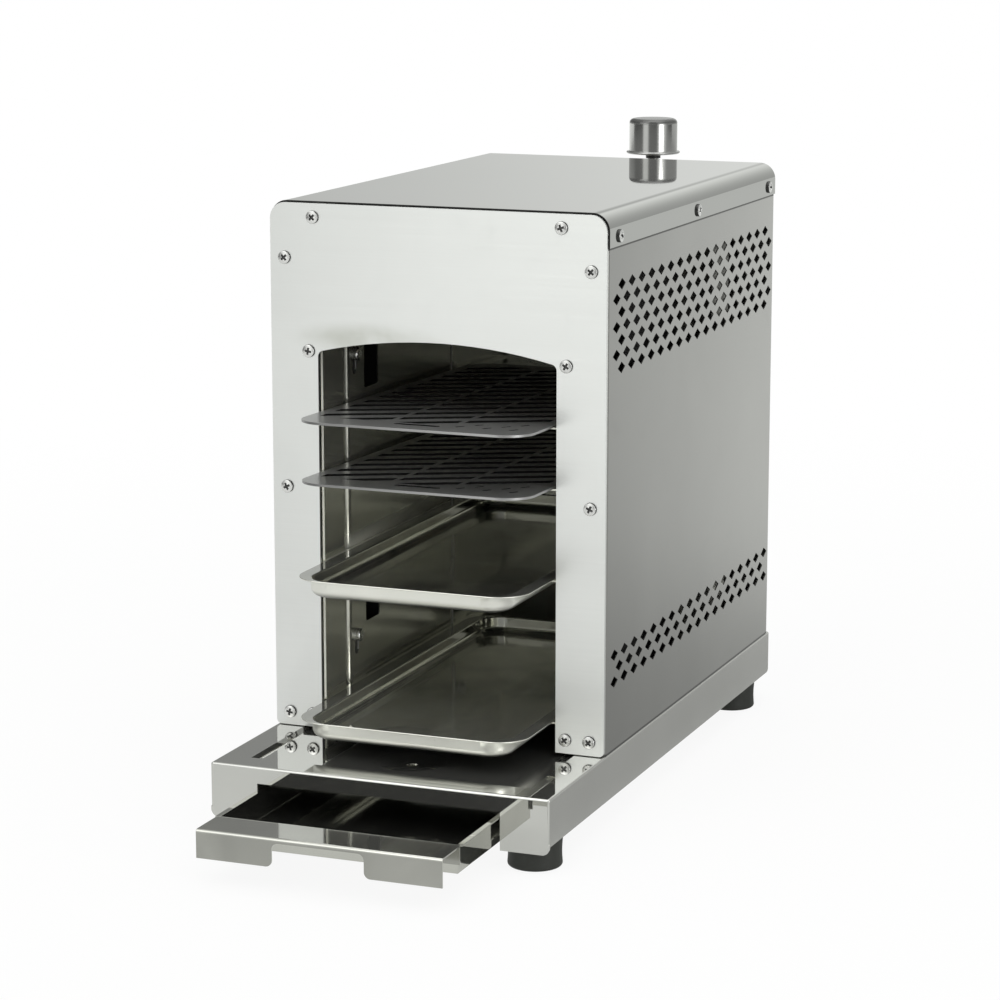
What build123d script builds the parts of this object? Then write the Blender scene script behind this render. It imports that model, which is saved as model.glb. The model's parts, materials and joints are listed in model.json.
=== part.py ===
from build123d import *
import math
import os

# Compact overhead gas grill: a perforated steel housing on a flat base, four shelves on rails,
# a ceramic burner under the hood, a drip drawer in the base and a control knob behind the hood.
# Lengths are in millimetres. +X is to the right seen from the front, +Y runs to the back, +Z is up.
# Depths are counted back from the front panel's face and heights up from the front panel's foot.

# Main sizes, which the rest follows
panel_width = 220.0
panel_height = 331.5
shell_depth = 345.2

# Feet and base
foot_height = 17.4
foot_radius = 16.5
foot_rounding = 1.5
foot_inset_side = 16.2
foot_inset_front = 18.8
foot_inset_back = 38.2
base_proud = 0.2
base_front = 94.3
base_behind = 6.0
base_height = 29.1
base_sheet = 1.0
base_bend = 1.5
base_flange = 31.0
apron_drop = 5.2
apron_corner = 5.0
recess_border = 19.0
recess_front_border = 17.8
recess_back_border = 22.0
recess_depth = 2.5
recess_slope = 2.5
dish_behind_face = -40.0
dish_radius = 22.5
dish_floor_radius = 8.0
dish_depth = 2.5
drain_radius = 3.5

# Drip drawer
drawer_reach = 152.3
drawer_length = 240.0
drawer_inset = 34.2
drawer_wall = 0.8
drawer_height = 17.5
drawer_rim = 2.5
drawer_drop = 14.1
handle_depth = 27.4
handle_sheet = 1.0
handle_bend = 2.0
handle_side = 1.5
handle_grip_half = 29.0
handle_grip_rounding = 4.0
handle_grip_strip = 3.0
runner_sheet = 1.0
runner_flange = 7.0
runner_length = 224.0
runner_gap = 0.8
bay_clearance = 2.9
bay_head = 3.7

# Front panel
panel_thick = 2.0
panel_lift = 0.5
panel_top_radius = 10.0
panel_foot_radius = 3.0
leg_width = 31.5
opening_drop = 91.5
opening_rise = 9.5
opening_corner = 4.0

# Outer shell
shell_sheet = 0.8
shell_front_gap = 1.5
shell_flange = 12.0
shell_bend = 1.6
shell_drop = 13.1
hood_over = 1.1
hood_sheet = 0.8
hood_flange = 21.0
hood_radius = 11.0
hood_front_gap = 1.2
vent_count = 9
vent_pitch = 18.0
vent_width = 5.0
vent_height = 60.0
vent_foot = 120.0

# Diamond perforations in the side panels
diamond_length = 13.4
diamond_height = 7.2
diamond_pitch = 18.6
diamond_row_pitch = 8.47
field_front = 18.4
field_back = 10.0
upper_field_rows = 7
upper_field_drop = 43.7
lower_field_rows = 3
lower_field_top = 60.1

# Frame behind the front panel, and the chamber's inner walls
frame_sheet = 1.0
frame_gap = 3.2
front_bend = 1.6
post_depth = 40.3
post_bend = 3.5
post_lip = 7.0
header_rise = 5.5
header_drop = 5.5
header_lip = 12.0
liner_setback = 1.0
liner_sheet = 0.8
liner_gap = 4.1
liner_back_gap = 29.2
liner_over_burner = 5.0
strip_width = 24.6
rear_strip_front = 221.0
window_front = 74.0
window_width = 22.0
window_height = 42.0
window_foots = (52.5, 206.0)
keyhole_length = 13.0
stay_fronts = (50.0, 226.0)
stay_flange = 12.0
stay_web = 36.0
stay_depth = 19.0
stay_margin = 4.0
roof_sheet = 1.0
roof_lip = 10.0

# Shelves and the rails that carry them
shelf_play = 3.2
rail_sheet = 1.0
rail_bearing = 4.5
rail_flange = 8.0
rail_front = 6.0
rail_back_gap = 6.0
seat_clearance = 0.3
rack_slope = 1.5
rack_reach = 47.0
rack_length = 300.0
rack_thick = 1.5
rack_corner = 19.0
rack_heights = (204.5, 166.7)
rack_rim = 7.0
rack_front_band = 23.0
rack_back_band = 15.0
slot_angle = 30.0
slot_width = 8.4
slot_pitch = 21.3
slot_start = 31.5
rack_rib_offset = 21.0
rack_rib_width = 3.3
grip_slot_length = 30.0
grip_slot_width = 4.6
grip_slot_back = 17.3
dash_length = 7.0
dash_width = 1.8
dash_angle = 60.0
dash_places = ((26.0, 22.5), (43.2, 22.5), (60.4, 22.5), (34.6, 32.3), (51.8, 32.3), (60.4, 42.1))
tray_reach = 54.0
tray_length = 305.0
tray_sheet = 0.8
tray_corner = 20.0
tray_body_corner = 16.5
tray_depth = 10.0
tray_front_rim = 0.9
tray_side_rim = 8.8
tray_floor_radius = 4.5
tray_heights = (107.8, 18.5)

# Burner
burner_front = 18.0
burner_back_gap = 54.0
burner_side_gap = 12.5
burner_drop = 73.5
burner_height = 36.0
burner_sheet = 1.0
burner_lip = 5.0
tile_height = 12.0
tile_count = 3
tile_gap = 0.4
tile_play = 0.2
hanger_width = 12.0
hanger_leg = 10.0
hanger_drop = 4.0
mixer_rise = 24.0
mixer_radius = 10.0
mixer_wall = 1.0
mixer_inside = 14.0
mixer_lap = 6.0
mixer_mouth_radius = 13.0
mixer_mouth_length = 8.0
mixer_play = 0.15

# Gas valve, knob and ignition
valve_behind = 64.8
valve_radius = 13.0
valve_height = 28.0
valve_neck_radius = 7.0
valve_neck = 3.0
outlet_rise = 14.0
outlet_radius = 8.0
outlet_reach = 26.0
inlet_reach = 22.0
inlet_rise = 11.0
safety_radius = 6.0
safety_side = 15.5
safety_tie_half = 5.0
safety_tie_top = 3.0
jet_length = 18.0
jet_radius = 5.0
jet_nose_radius = 3.0
jet_nose = 8.0
jet_bore = 0.6
hex_radius = 9.5
hex_length = 9.0
thread_radius = 6.58
thread_length = 12.0
inlet_bore = 3.0
bracket_sheet = 2.0
bracket_half_width = 24.0
bracket_drop = 30.0
bracket_margin = 16.0
bracket_screw_inset = 6.0
bracket_screw_rise = 8.0
spindle_radius = 4.0
spindle_depth = 8.0
running_fit = 0.05
knob_travel = 3.0
collar_radius = 6.5
collar_height = 2.0
hub_radius = 5.3
hub_drop = 3.5
hub_overlap = 8.0
hub_play = 0.05
knob_below_hood = 2.1
knob_height = 25.1
knob_radius = 17.3
knob_rim_radius = 19.3
knob_rim_height = 1.6
knob_edge = 3.5
knob_wall = 1.0
piezo_width = 12.0
piezo_length = 18.0
piezo_height = 22.0
piezo_rise = 9.0
probe_side = 18.0
probe_back = 6.5
probe_above = 12.0
probe_below = 4.0
probe_tip_below = 8.0
electrode_radius = 3.0
electrode_wire = 1.0
electrode_reach = 14.0
thermo_radius = 2.5
thermo_tip_radius = 1.5
probe_play = 0.15
probe_plate = 1.5
probe_plate_side = 8.0
probe_plate_back = 6.0
probe_plate_leg = 8.0
lead_radius = 1.1
lead_rise = 31.0
lead_hole_play = 1.4

# Screws and bolts
screw_radius = 2.0
screw_hole_radius = 2.15
screw_head_radius = 4.0
screw_head_height = 1.8
screw_head_rounding = 0.8
screw_length = 9.0
cross_length = 4.6
cross_width = 1.2
cross_depth = 1.0
panel_top_screws = ((28.7, 8.5), (9.6, 33.9), (25.3, 91.4))
panel_leg_screws = ((9.6, 154.0), (25.2, 8.5), (9.6, 8.5))
panel_screw_turns = (70, 40, 50, 25, 30, 45, 45, 48, 10, 65, 40, 12)
hood_screw_front = 20.7
hood_screw_back = 15.2
hood_screw_drop = 15.1
rear_screw_foot = 20.0
rear_screw_drop = 31.5
base_screw_inset = 30.0
flange_screw_inset = 6.8
bolt_radius = 2.5
bolt_play = 0.15
bolt_head_radius = 4.3
bolt_head_height = 4.0
bolt_nut_radius = 4.5
bolt_nut_height = 3.2
bolt_inset = 10.6
bolt_heights = (47.5, 230.5)

# Places worked out from the sizes above
base_back = shell_depth + base_behind
valve_back = shell_depth + valve_behind
liner_back = shell_depth - liner_back_gap
base_top = foot_height + base_height
panel_foot = base_top + panel_lift
front_reach = drawer_reach + handle_depth
rear_reach = valve_back + knob_rim_radius
face_y = (front_reach - rear_reach) / 2

shell_half = panel_width / 2
shell_inner = shell_half - shell_sheet
hood_half = shell_half + hood_sheet
base_half = shell_half + base_proud
drawer_half_width = base_half - drawer_inset
opening_half = shell_half - leg_width
frame_outer = shell_inner - frame_gap
liner_inner = opening_half + liner_setback
wall_inner = liner_inner + liner_sheet
wall_outer = wall_inner + liner_sheet
shelf_half = opening_half - shelf_play
ledge_inner = shelf_half - rail_bearing
burner_half_width = liner_inner - burner_side_gap

hood_height = panel_height + hood_over
shell_height = hood_height - shell_drop
opening_spring = panel_height - opening_drop
header_foot = opening_spring + opening_rise + header_rise
header_top = panel_height - header_drop
burner_foot = panel_height - burner_drop
burner_length = liner_back - burner_back_gap - burner_front
liner_height = burner_foot + burner_height + liner_over_burner
strip_front = panel_thick + post_depth + liner_gap
strip_fronts = (strip_front, rear_strip_front)
mixer_height = burner_foot + mixer_rise
lead_height = burner_foot + lead_rise
probe_top = burner_foot + probe_above
probe_foot = burner_foot - probe_below
probe_tip = burner_foot - probe_tip_below

valve_foot = mixer_height - outlet_rise
valve_top = valve_foot + valve_height
inlet_height = valve_foot + inlet_rise
jet_tip = valve_back - outlet_reach - jet_length
collar_foot = valve_top + valve_neck + knob_travel + 1.0
knob_foot = hood_height - knob_below_hood
hub_foot = knob_foot - hub_drop

panel_screws = [(shell_half - inset, panel_height - drop) for inset, drop in panel_top_screws]
panel_screws += [(shell_half - inset, height) for inset, height in panel_leg_screws]
hood_screw_depths = (hood_screw_front, shell_depth / 2, shell_depth - hood_screw_back)
base_screw_depths = (base_screw_inset, shell_depth / 2, shell_depth - base_screw_inset)
rear_screw_heights = (rear_screw_foot, panel_height / 2, panel_height - rear_screw_drop)


def back(depth):
    """Y of a depth counted back from the front panel's face."""
    return face_y + depth


def up(height):
    """Z of a height counted up from the front panel's foot."""
    return panel_foot + height


def block(x, y, z):
    """Box between pairs of X, Y and Z values."""
    size = [abs(pair[1] - pair[0]) for pair in (x, y, z)]
    middle = [(pair[0] + pair[1]) / 2 for pair in (x, y, z)]
    return Pos(*middle) * Box(*size)


def rod_x(x, y, z, radius):
    """Cylinder along X between a pair of X values."""
    middle = (x[0] + x[1]) / 2
    return Pos(middle, y, z) * Rot(0, 90, 0) * Cylinder(radius, abs(x[1] - x[0]))


def rod_y(x, y, z, radius):
    """Cylinder along Y between a pair of Y values."""
    middle = (y[0] + y[1]) / 2
    return Pos(x, middle, z) * Rot(90, 0, 0) * Cylinder(radius, abs(y[1] - y[0]))


def rod_z(x, y, z, radius):
    """Cylinder along Z between a pair of Z values."""
    middle = (z[0] + z[1]) / 2
    return Pos(x, y, middle) * Cylinder(radius, abs(z[1] - z[0]))


def other_side(shape):
    """The same piece on the left-hand side."""
    return mirror(shape, about=Plane.YZ)


def rounded_plate(half_width, y, z, corner):
    """Flat plate between pairs of Y and Z values with round upright corners."""
    plate = block((-half_width, half_width), y, z)
    return fillet(plate.edges().filter_by(Axis.Z), corner)


def write(name, shape):
    """Write one sub-part. A list becomes a group of separate solids."""
    if isinstance(shape, list):
        shape = Compound(children=shape)
    export_step(shape, f"parts/{name}.step")


def pan_screw(length=screw_length, turn=45):
    """Pan-head cross-recess screw along -Z, its head's seat on the origin."""
    head = Pos(0, 0, screw_head_height / 2) * Cylinder(screw_head_radius, screw_head_height)
    head = fillet(head.edges().group_by(Axis.Z)[-1], screw_head_rounding)
    shank = Pos(0, 0, -length / 2) * Cylinder(screw_radius, length)
    cross_z = screw_head_height - cross_depth / 2
    cross = Pos(0, 0, cross_z) * Box(cross_length, cross_width, cross_depth)
    cross += Pos(0, 0, cross_z) * Box(cross_width, cross_length, cross_depth)
    return head + shank - Rot(0, 0, turn) * cross


def both_sides(places):
    """Points on the right and their mirror images on the left."""
    return [(side * x, z) for side in (1, -1) for x, z in places]


# Base and feet

def base_shell():
    """Folded base: top with a tapered recess and drain dish, four aprons, two foot flanges."""
    front, rear = back(-base_front), back(base_back)
    outer = block((-base_half, base_half), (front, rear), (foot_height, base_top))
    folds = outer.edges().group_by(Axis.Z)[-1] + outer.edges().filter_by(Axis.Z)
    outer = fillet(folds, base_bend)
    inside = base_half - base_sheet
    shell = outer - block(
        (-inside, inside),
        (front + base_sheet, rear - base_sheet),
        (foot_height - 1, base_top - base_sheet),
    )
    apron = block(
        (-base_half, base_half),
        (front, front + base_sheet),
        (foot_height - apron_drop, foot_height + base_bend),
    )
    apron = fillet(apron.edges().filter_by(Axis.Y).group_by(Axis.Z)[0], apron_drop - 0.2)
    shell += apron
    flange = block(
        (inside - base_flange, inside + base_sheet / 2),
        (front + base_sheet / 2, rear - base_sheet / 2),
        (foot_height, foot_height + base_sheet),
    )
    shell = shell + flange + other_side(flange)
    shell = with_recess(shell, front, rear)
    bay_half = drawer_half_width + bay_clearance
    bay_top = base_top - drawer_drop + bay_head
    shell -= block((-bay_half, bay_half), (front - 1, front + 3 * base_sheet), (0, bay_top))
    for x, y in foot_places():
        shell -= rod_z(x, y, (0, foot_height + 2 * base_sheet), screw_hole_radius)
    for x, y in base_screw_places():
        shell -= rod_z(x, y, (base_top - 2 * base_sheet, base_top + 1), screw_hole_radius)
    corner = apron_corner_cut(inside, rear)
    return shell - corner - other_side(corner)


def apron_corner_cut(inside, rear):
    """What is trimmed off the right-hand apron's rear lower corner to round it."""
    low = foot_height
    corner = block((inside, base_half + 1), (rear - apron_corner, rear + 1),
                   (low - 1, low + apron_corner))
    return corner - rod_x((inside - 1, base_half + 2), rear - apron_corner, low + apron_corner,
                          apron_corner)


def with_recess(shell, front, rear):
    """Press the tapered recess and the round drain dish into the base's top."""
    half = base_half - recess_border
    y = (front + recess_front_border, rear - recess_back_border)
    floor_z = base_top - recess_depth
    pocket = tapered(half, y, (base_top, floor_z), recess_slope)
    pan = tapered(half + base_sheet, (y[0] - base_sheet, y[1] + base_sheet),
                  (base_top, floor_z - base_sheet), recess_slope)
    centre_y = back(dish_behind_face)
    dish_z = floor_z - dish_depth
    dish = dish_cone(centre_y, dish_z, floor_z, 0)
    dish_skin = dish_cone(centre_y, dish_z - base_sheet, floor_z - base_sheet, base_sheet)
    shell = shell + pan + dish_skin - pocket - dish
    return shell - rod_z(0, centre_y, (dish_z - 3, dish_z + 3), drain_radius)


def tapered(half, y, z, slope):
    """Four-sided block that narrows by the slope on each side from its top to its floor."""
    middle = (y[0] + y[1]) / 2
    width, length = 2 * half, y[1] - y[0]
    top = Pos(0, middle, z[0]) * Rectangle(width, length)
    floor = Pos(0, middle, z[1]) * Rectangle(width - 2 * slope, length - 2 * slope)
    return loft([top.face(), floor.face()], ruled=True)


def dish_cone(centre_y, low, high, skin):
    """Shallow cone of the drain dish, wider by the skin for its underside."""
    middle = (low + high) / 2
    return Pos(0, centre_y, middle) * Cone(
        dish_floor_radius + skin, dish_radius + skin, high - low)


def foot_places():
    """Centres of the four feet."""
    x = base_half - foot_inset_side
    depths = (-base_front + foot_inset_front, base_back - foot_inset_back)
    return [(side * x, back(depth)) for depth in depths for side in (1, -1)]


def base_screw_places():
    """Screws that hold the housing's bottom flanges to the base."""
    x = shell_inner - flange_screw_inset
    return [(side * x, back(depth)) for depth in base_screw_depths for side in (1, -1)]


def foot(x, y):
    """Rubber foot with a pocket for its screw."""
    body = rod_z(x, y, (0, foot_height), foot_radius)
    body = fillet(body.edges().group_by(Axis.Z)[0], foot_rounding)
    body -= rod_z(x, y, (-1, foot_height / 2), screw_head_radius + 1)
    return body - rod_z(x, y, (0, foot_height + 1), screw_hole_radius)


def foot_screws():
    """One screw up through each foot into the base's flange."""
    length = foot_height / 2 + base_sheet + 3
    return [Pos(x, y, foot_height / 2) * Rot(180, 0, 0) * pan_screw(length)
            for x, y in foot_places()]


def base_screws():
    """Screws from under the base's top into the housing's bottom flanges."""
    seat = base_top - base_sheet
    return [Pos(x, y, seat) * Rot(180, 0, 0) * pan_screw(base_sheet + shell_sheet + 3)
            for x, y in base_screw_places()]


# Drip drawer

def drawer_rim_top():
    """Top of the drawer's rim."""
    return base_top - drawer_drop


def drip_drawer():
    """Open pan with a narrow rim along each side that slides on the runners."""
    top = drawer_rim_top()
    y = (back(-drawer_reach), back(drawer_length - drawer_reach))
    pan = block((-drawer_half_width, drawer_half_width), y, (top - drawer_height, top))
    pan = fillet(pan.edges().group_by(Axis.Z)[0], drawer_wall)
    inner = drawer_half_width - drawer_wall
    pan -= block((-inner, inner), (y[0] + drawer_wall, y[1] - drawer_wall),
                 (top - drawer_height + drawer_wall, top + 1))
    rim = block((drawer_half_width - drawer_wall / 2, drawer_half_width + drawer_rim), y,
                (top - drawer_wall, top))
    return pan + rim + other_side(rim)


def drawer_handle():
    """Folded grip on the drawer's front: a tongue on the pan, a top and a lip with a finger cut."""
    top = drawer_rim_top()
    low = top - drawer_height
    half = drawer_half_width + handle_side
    front, rear = back(-front_reach), back(-drawer_reach)
    grip = block((-half, half), (front, rear), (low, top))
    grip = fillet(grip.edges().filter_by(Axis.X).group_by(Axis.Y)[0].group_by(Axis.Z)[-1:][0],
                  handle_bend)
    grip -= block((-half - 1, half + 1), (front + handle_sheet, rear - handle_sheet),
                  (low - 1, top - handle_sheet))
    grip -= block((-half - 1, half + 1), (rear - 2 * handle_sheet, rear + 1),
                  (low - 1, low + drawer_height / 3))
    finger = block((-handle_grip_half, handle_grip_half), (front - 1, front + 3 * handle_sheet),
                   (low - 1, top - handle_grip_strip))
    finger = fillet(finger.edges().filter_by(Axis.Y).group_by(Axis.Z)[-1], handle_grip_rounding)
    grip -= finger
    lower = grip.edges().filter_by(Axis.Y).group_by(Axis.Z)[0]
    lower = [edge for edge in lower if edge.center().Y < front + 2 * handle_sheet
             and abs(edge.center().X) < half - 1]
    return fillet(lower, handle_grip_rounding)


def drawer_runner():
    """Z-shaped runner under the recess: a ledge for the drawer's rim, a web and a top flange."""
    ledge_top = drawer_rim_top() - drawer_wall - seat_clearance
    web_inner = drawer_half_width + drawer_rim + runner_gap
    head = base_top - recess_depth - base_sheet
    y0 = back(-base_front) + recess_front_border + recess_slope
    y = (y0, y0 + runner_length)
    ledge = block((drawer_half_width + runner_gap, web_inner + runner_sheet), y,
                  (ledge_top - runner_sheet, ledge_top))
    web = block((web_inner, web_inner + runner_sheet), y, (ledge_top - runner_sheet, head))
    flange = block((web_inner, web_inner + runner_flange), y, (head - runner_sheet, head))
    return ledge + web + flange


# Front panel and the frame behind it

def front_panel():
    """Flat front with an arched opening that runs down to its foot."""
    half = panel_width / 2
    y = (back(0), back(panel_thick))
    panel = block((-half, half), y, (up(0), up(panel_height)))
    upright = panel.edges().filter_by(Axis.Y).group_by(Axis.Z)
    panel = fillet(upright[-1], panel_top_radius)
    panel = fillet(panel.edges().filter_by(Axis.Y).group_by(Axis.Z)[0], panel_foot_radius)
    arch_radius = (opening_half ** 2 + opening_rise ** 2) / (2 * opening_rise)
    crown = opening_spring + opening_rise
    cut_y = (back(-5), back(panel_thick + 5))
    hole = block((-opening_half, opening_half), cut_y, (up(-1), up(crown)))
    hole &= rod_y(0, cut_y, up(crown - arch_radius), arch_radius)
    shoulders = [edge for edge in hole.edges().filter_by(Axis.Y)
                 if edge.center().Z > up(opening_spring / 2)]
    panel -= fillet(shoulders, opening_corner)
    for x, height in both_sides(panel_screws):
        panel -= rod_y(x, cut_y, up(height), screw_hole_radius)
    return panel


def rounded_web(solid, front_radius, rear_radius):
    """Round the upright corners of an upright channel's web, the front one and the rear one."""
    upright = solid.edges().filter_by(Axis.Z).group_by(Axis.X)[0].sort_by(Axis.Y)
    solid = fillet(upright[-1], rear_radius)
    upright = solid.edges().filter_by(Axis.Z).group_by(Axis.X)[0].sort_by(Axis.Y)
    return fillet(upright[0], front_radius)


def front_post():
    """Right-hand post: flange behind the panel's leg, web beside the shelves, rear lip."""
    y = (back(panel_thick), back(panel_thick + post_depth))
    z = (base_top, up(header_foot - 1))
    post = rounded_web(block((liner_inner, frame_outer), y, z), front_bend, post_bend)
    post -= rounded_web(
        block((liner_inner + frame_sheet, frame_outer + 1), (y[0] + frame_sheet, y[1] - frame_sheet),
              (z[0] - 1, z[1] + 1)), front_bend - frame_sheet, post_bend - frame_sheet)
    post -= block((liner_inner + post_lip, frame_outer + 1),
                  (y[0] + frame_sheet + 1, y[1] + 1), (z[0] - 1, z[1] + 1))
    for x, height in panel_screws:
        if height < header_foot:
            post -= rod_y(x, (y[0] - 1, y[0] + 5), up(height), screw_hole_radius)
    return post


def front_header():
    """Channel behind the panel above the opening."""
    y0 = back(panel_thick)
    half = frame_outer
    plate = block((-half, half), (y0, y0 + frame_sheet), (up(header_foot), up(header_top)))
    low_lip = block((-liner_inner, liner_inner), (y0, y0 + header_lip),
                    (up(header_foot), up(header_foot) + frame_sheet))
    top_lip = block((-half, half), (y0, y0 + header_lip),
                    (up(header_top) - frame_sheet, up(header_top)))
    header = plate + low_lip + top_lip
    for x, height in both_sides(panel_screws):
        if height > header_foot:
            header -= rod_y(x, (y0 - 1, y0 + 5), up(height), screw_hole_radius)
    return header


def panel_screw_set():
    """Screws through the front panel into the frame."""
    return [Pos(x, back(0), up(height)) * Rot(90, 0, 0) * pan_screw(turn=turn)
            for (x, height), turn in zip(both_sides(panel_screws), panel_screw_turns)]


# Outer shell

def diamond_rows(rows, top, long_first):
    """Centres of a staggered field of perforations as depth and height pairs."""
    long_row = int((shell_depth - field_front - field_back) / diamond_pitch) + 1
    places = []
    for row in range(rows):
        is_long = (row % 2 == 0) == long_first
        count = long_row if is_long else long_row - 1
        start = field_front if is_long else field_front + diamond_pitch / 2
        height = top - row * diamond_row_pitch
        places += [(start + column * diamond_pitch, height) for column in range(count)]
    return places


def diamond_cutters():
    """Prisms that punch both fields of perforations through the right-hand side."""
    half_length, half_height = diamond_length / 2, diamond_height / 2
    corners = [(half_length, 0), (0, half_height), (-half_length, 0), (0, -half_height)]
    diamond = make_face(Polyline(*corners, close=True))
    places = diamond_rows(upper_field_rows, panel_height - upper_field_drop, False)
    places += diamond_rows(lower_field_rows, lower_field_top, True)
    outline = Sketch() + [Pos(back(depth), up(height)) * diamond for depth, height in places]
    sheet = Plane.YZ.offset(shell_inner - 1) * outline
    return extrude(sheet, amount=shell_sheet + 2)


def side_panel():
    """Right-hand side: perforated wall with a folded front edge and a bottom flange."""
    y = (back(panel_thick + shell_front_gap), back(shell_depth - shell_sheet))
    z = (base_top, up(shell_height))
    wall = block((shell_inner, shell_half), y, z)
    fold = block((shell_half - shell_flange, shell_half), (y[0], y[0] + shell_sheet), z)
    flange = block((shell_half - shell_flange, shell_half), y, (z[0], z[0] + shell_sheet))
    rear = block((shell_half - shell_flange, shell_half), (y[1] - shell_sheet, y[1]), z)
    panel = wall + fold + flange + rear
    corner = [edge for edge in panel.edges().filter_by(Axis.Z)
              if abs(edge.center().X - shell_half) < 0.01 and edge.center().Y < y[0] + 1]
    panel = fillet(corner, shell_bend)
    panel -= diamond_cutters()
    for depth in hood_screw_depths:
        panel -= rod_x((shell_inner - 1, shell_half + 1), back(depth),
                       up(hood_height - hood_screw_drop), screw_hole_radius)
    for x, height in panel_screws:
        panel -= rod_y(x, (y[0] - 1, y[0] + 5), up(height), screw_hole_radius)
    for x, place_y in base_screw_places():
        panel -= rod_z(x, place_y, (base_top - 1, base_top + 3), screw_hole_radius)
    for height in rear_screw_heights:
        panel -= rod_y(shell_inner - flange_screw_inset, (y[1] - 3, y[1] + 3), up(height),
                       screw_hole_radius)
    return panel


def hood():
    """Top sheet folded down at both sides with rounded edges."""
    y = (back(panel_thick + hood_front_gap), back(shell_depth))
    top = up(hood_height)
    outer = block((-hood_half, hood_half), y, (top - hood_flange, top))
    outer = fillet(outer.edges().filter_by(Axis.Y).group_by(Axis.Z)[-1], hood_radius)
    inner = block((-shell_half, shell_half), (y[0] - 1, y[1] + 1),
                  (top - hood_flange - 1, top - hood_sheet))
    inner = fillet(inner.edges().filter_by(Axis.Y).group_by(Axis.Z)[-1],
                   hood_radius - hood_sheet)
    cover = outer - inner
    for depth in hood_screw_depths:
        cover -= rod_x((-hood_half - 1, hood_half + 1), back(depth), top - hood_screw_drop,
                       screw_hole_radius)
    return cover


def hood_screw_set():
    """Screws through the hood's flanges into the side panels."""
    z = up(hood_height) - hood_screw_drop
    right = [Pos(hood_half, back(depth), z) * Rot(0, 90, 0) * pan_screw()
             for depth in hood_screw_depths]
    return right + [other_side(screw) for screw in right]


def rear_panel():
    """Flat back with holes for the mixer tube and the leads, and a row of vents."""
    half = shell_inner - 0.2
    y = (back(shell_depth - shell_sheet), back(shell_depth))
    cut = (y[0] - 5, y[1] + 5)
    panel = block((-half, half), y, (base_top, up(hood_height) - hood_sheet - seat_clearance))
    panel = fillet(panel.edges().filter_by(Axis.Y).group_by(Axis.Z)[-1], hood_radius)
    panel -= rod_y(0, cut, up(mixer_height), mixer_radius + 1)
    for side in (1, -1):
        panel -= rod_y(side * probe_side, cut, up(lead_height), lead_radius + lead_hole_play)
        for height in rear_screw_heights:
            panel -= rod_y(side * (shell_inner - flange_screw_inset), cut, up(height),
                           screw_hole_radius)
    for x in bracket_screw_sides():
        panel -= rod_y(x, cut, up(bracket_screw_height()), screw_hole_radius)
    for column in range(vent_count):
        x = (column - (vent_count - 1) / 2) * vent_pitch
        vent = block((x - vent_width / 2, x + vent_width / 2), cut,
                     (up(vent_foot), up(vent_foot + vent_height)))
        panel -= fillet(vent.edges().filter_by(Axis.Y), 0.48 * vent_width)
    return panel


def rear_screw_set():
    """Screws through the rear panel into the side panels' rear flanges."""
    x = shell_inner - flange_screw_inset
    return [Pos(side * x, back(shell_depth), up(height)) * Rot(-90, 0, 0) * pan_screw()
            for side in (1, -1) for height in rear_screw_heights]


# Cooking chamber

def recess_floor():
    """Level of the base's recess, on which the inner walls stand."""
    return base_top - recess_depth


def bolt_places():
    """Depth and height of the bolts through the right-hand inner wall."""
    return [(front + bolt_inset, height) for front in strip_fronts for height in bolt_heights]


def keyholes(x):
    """Cutters for the bolts' holes, with the hanging slot under each front bolt."""
    cutters = []
    for depth, height in bolt_places():
        radius = bolt_radius + bolt_play
        cutters.append(rod_x(x, back(depth), up(height), radius))
        if depth < rear_strip_front:
            low = up(height - keyhole_length + radius)
            slot = block(x, (back(depth) - radius, back(depth) + radius), (low, up(height)))
            cutters.append(slot + rod_x(x, back(depth), low, radius))
    return cutters


def inner_wall():
    """Right-hand inner wall with two windows."""
    y0 = back(strip_front + post_bend + 1)
    wall = block((wall_inner, wall_outer), (y0, back(liner_back)),
                 (recess_floor(), up(liner_height)))
    cut = (wall_inner - 1, wall_outer + 1)
    for foot_of_window in window_foots:
        window = block(cut, (back(window_front), back(window_front + window_width)),
                       (up(foot_of_window), up(foot_of_window + window_height)))
        wall -= fillet(window.edges().filter_by(Axis.X), 2)
    return wall - keyholes(cut)


def wall_strips():
    """Right-hand strips on the inner wall that carry the rails: a folded front one, a flat rear."""
    z = (recess_floor(), up(liner_height))
    y = (back(strip_front), back(strip_front + strip_width))
    front = rounded_corner(block((liner_inner, liner_inner + post_lip), y, z), post_bend)
    front -= rounded_corner(
        block((wall_inner, liner_inner + post_lip + 1), (y[0] + liner_sheet, y[1] + 1),
              (z[0] - 1, z[1] + 1)), post_bend - liner_sheet)
    rear = block((liner_inner, wall_inner),
                 (back(rear_strip_front), back(rear_strip_front + strip_width)), z)
    cutters = keyholes((liner_inner - 1, wall_outer + 1))
    return [front - cutters, rear - cutters]


def rounded_corner(solid, radius):
    """Round the front upright corner on the side of the chamber."""
    upright = solid.edges().filter_by(Axis.Z).group_by(Axis.X)[0].sort_by(Axis.Y)
    return fillet(upright[0], radius)


def wall_stays():
    """Right-hand upright stays outside the inner wall: hat sections open to the chamber."""
    z = (up(stay_margin), up(liner_height - stay_margin))
    outer = wall_outer + stay_depth
    stays = []
    for front in stay_fronts:
        whole = (back(front), back(front + 2 * stay_flange + stay_web))
        web = (whole[0] + stay_flange, whole[1] - stay_flange)
        stay = block((wall_outer, wall_outer + liner_sheet), whole, z)
        stay += block((wall_outer, outer), web, z)
        stay -= block((wall_outer - 1, outer - liner_sheet),
                      (web[0] + liner_sheet, web[1] - liner_sheet), (z[0] - 1, z[1] + 1))
        for depth, height in bolt_places():
            stay -= rod_x((wall_outer - 1, outer), back(depth), up(height),
                          bolt_radius + bolt_play)
        stays.append(stay)
    return stays


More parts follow.
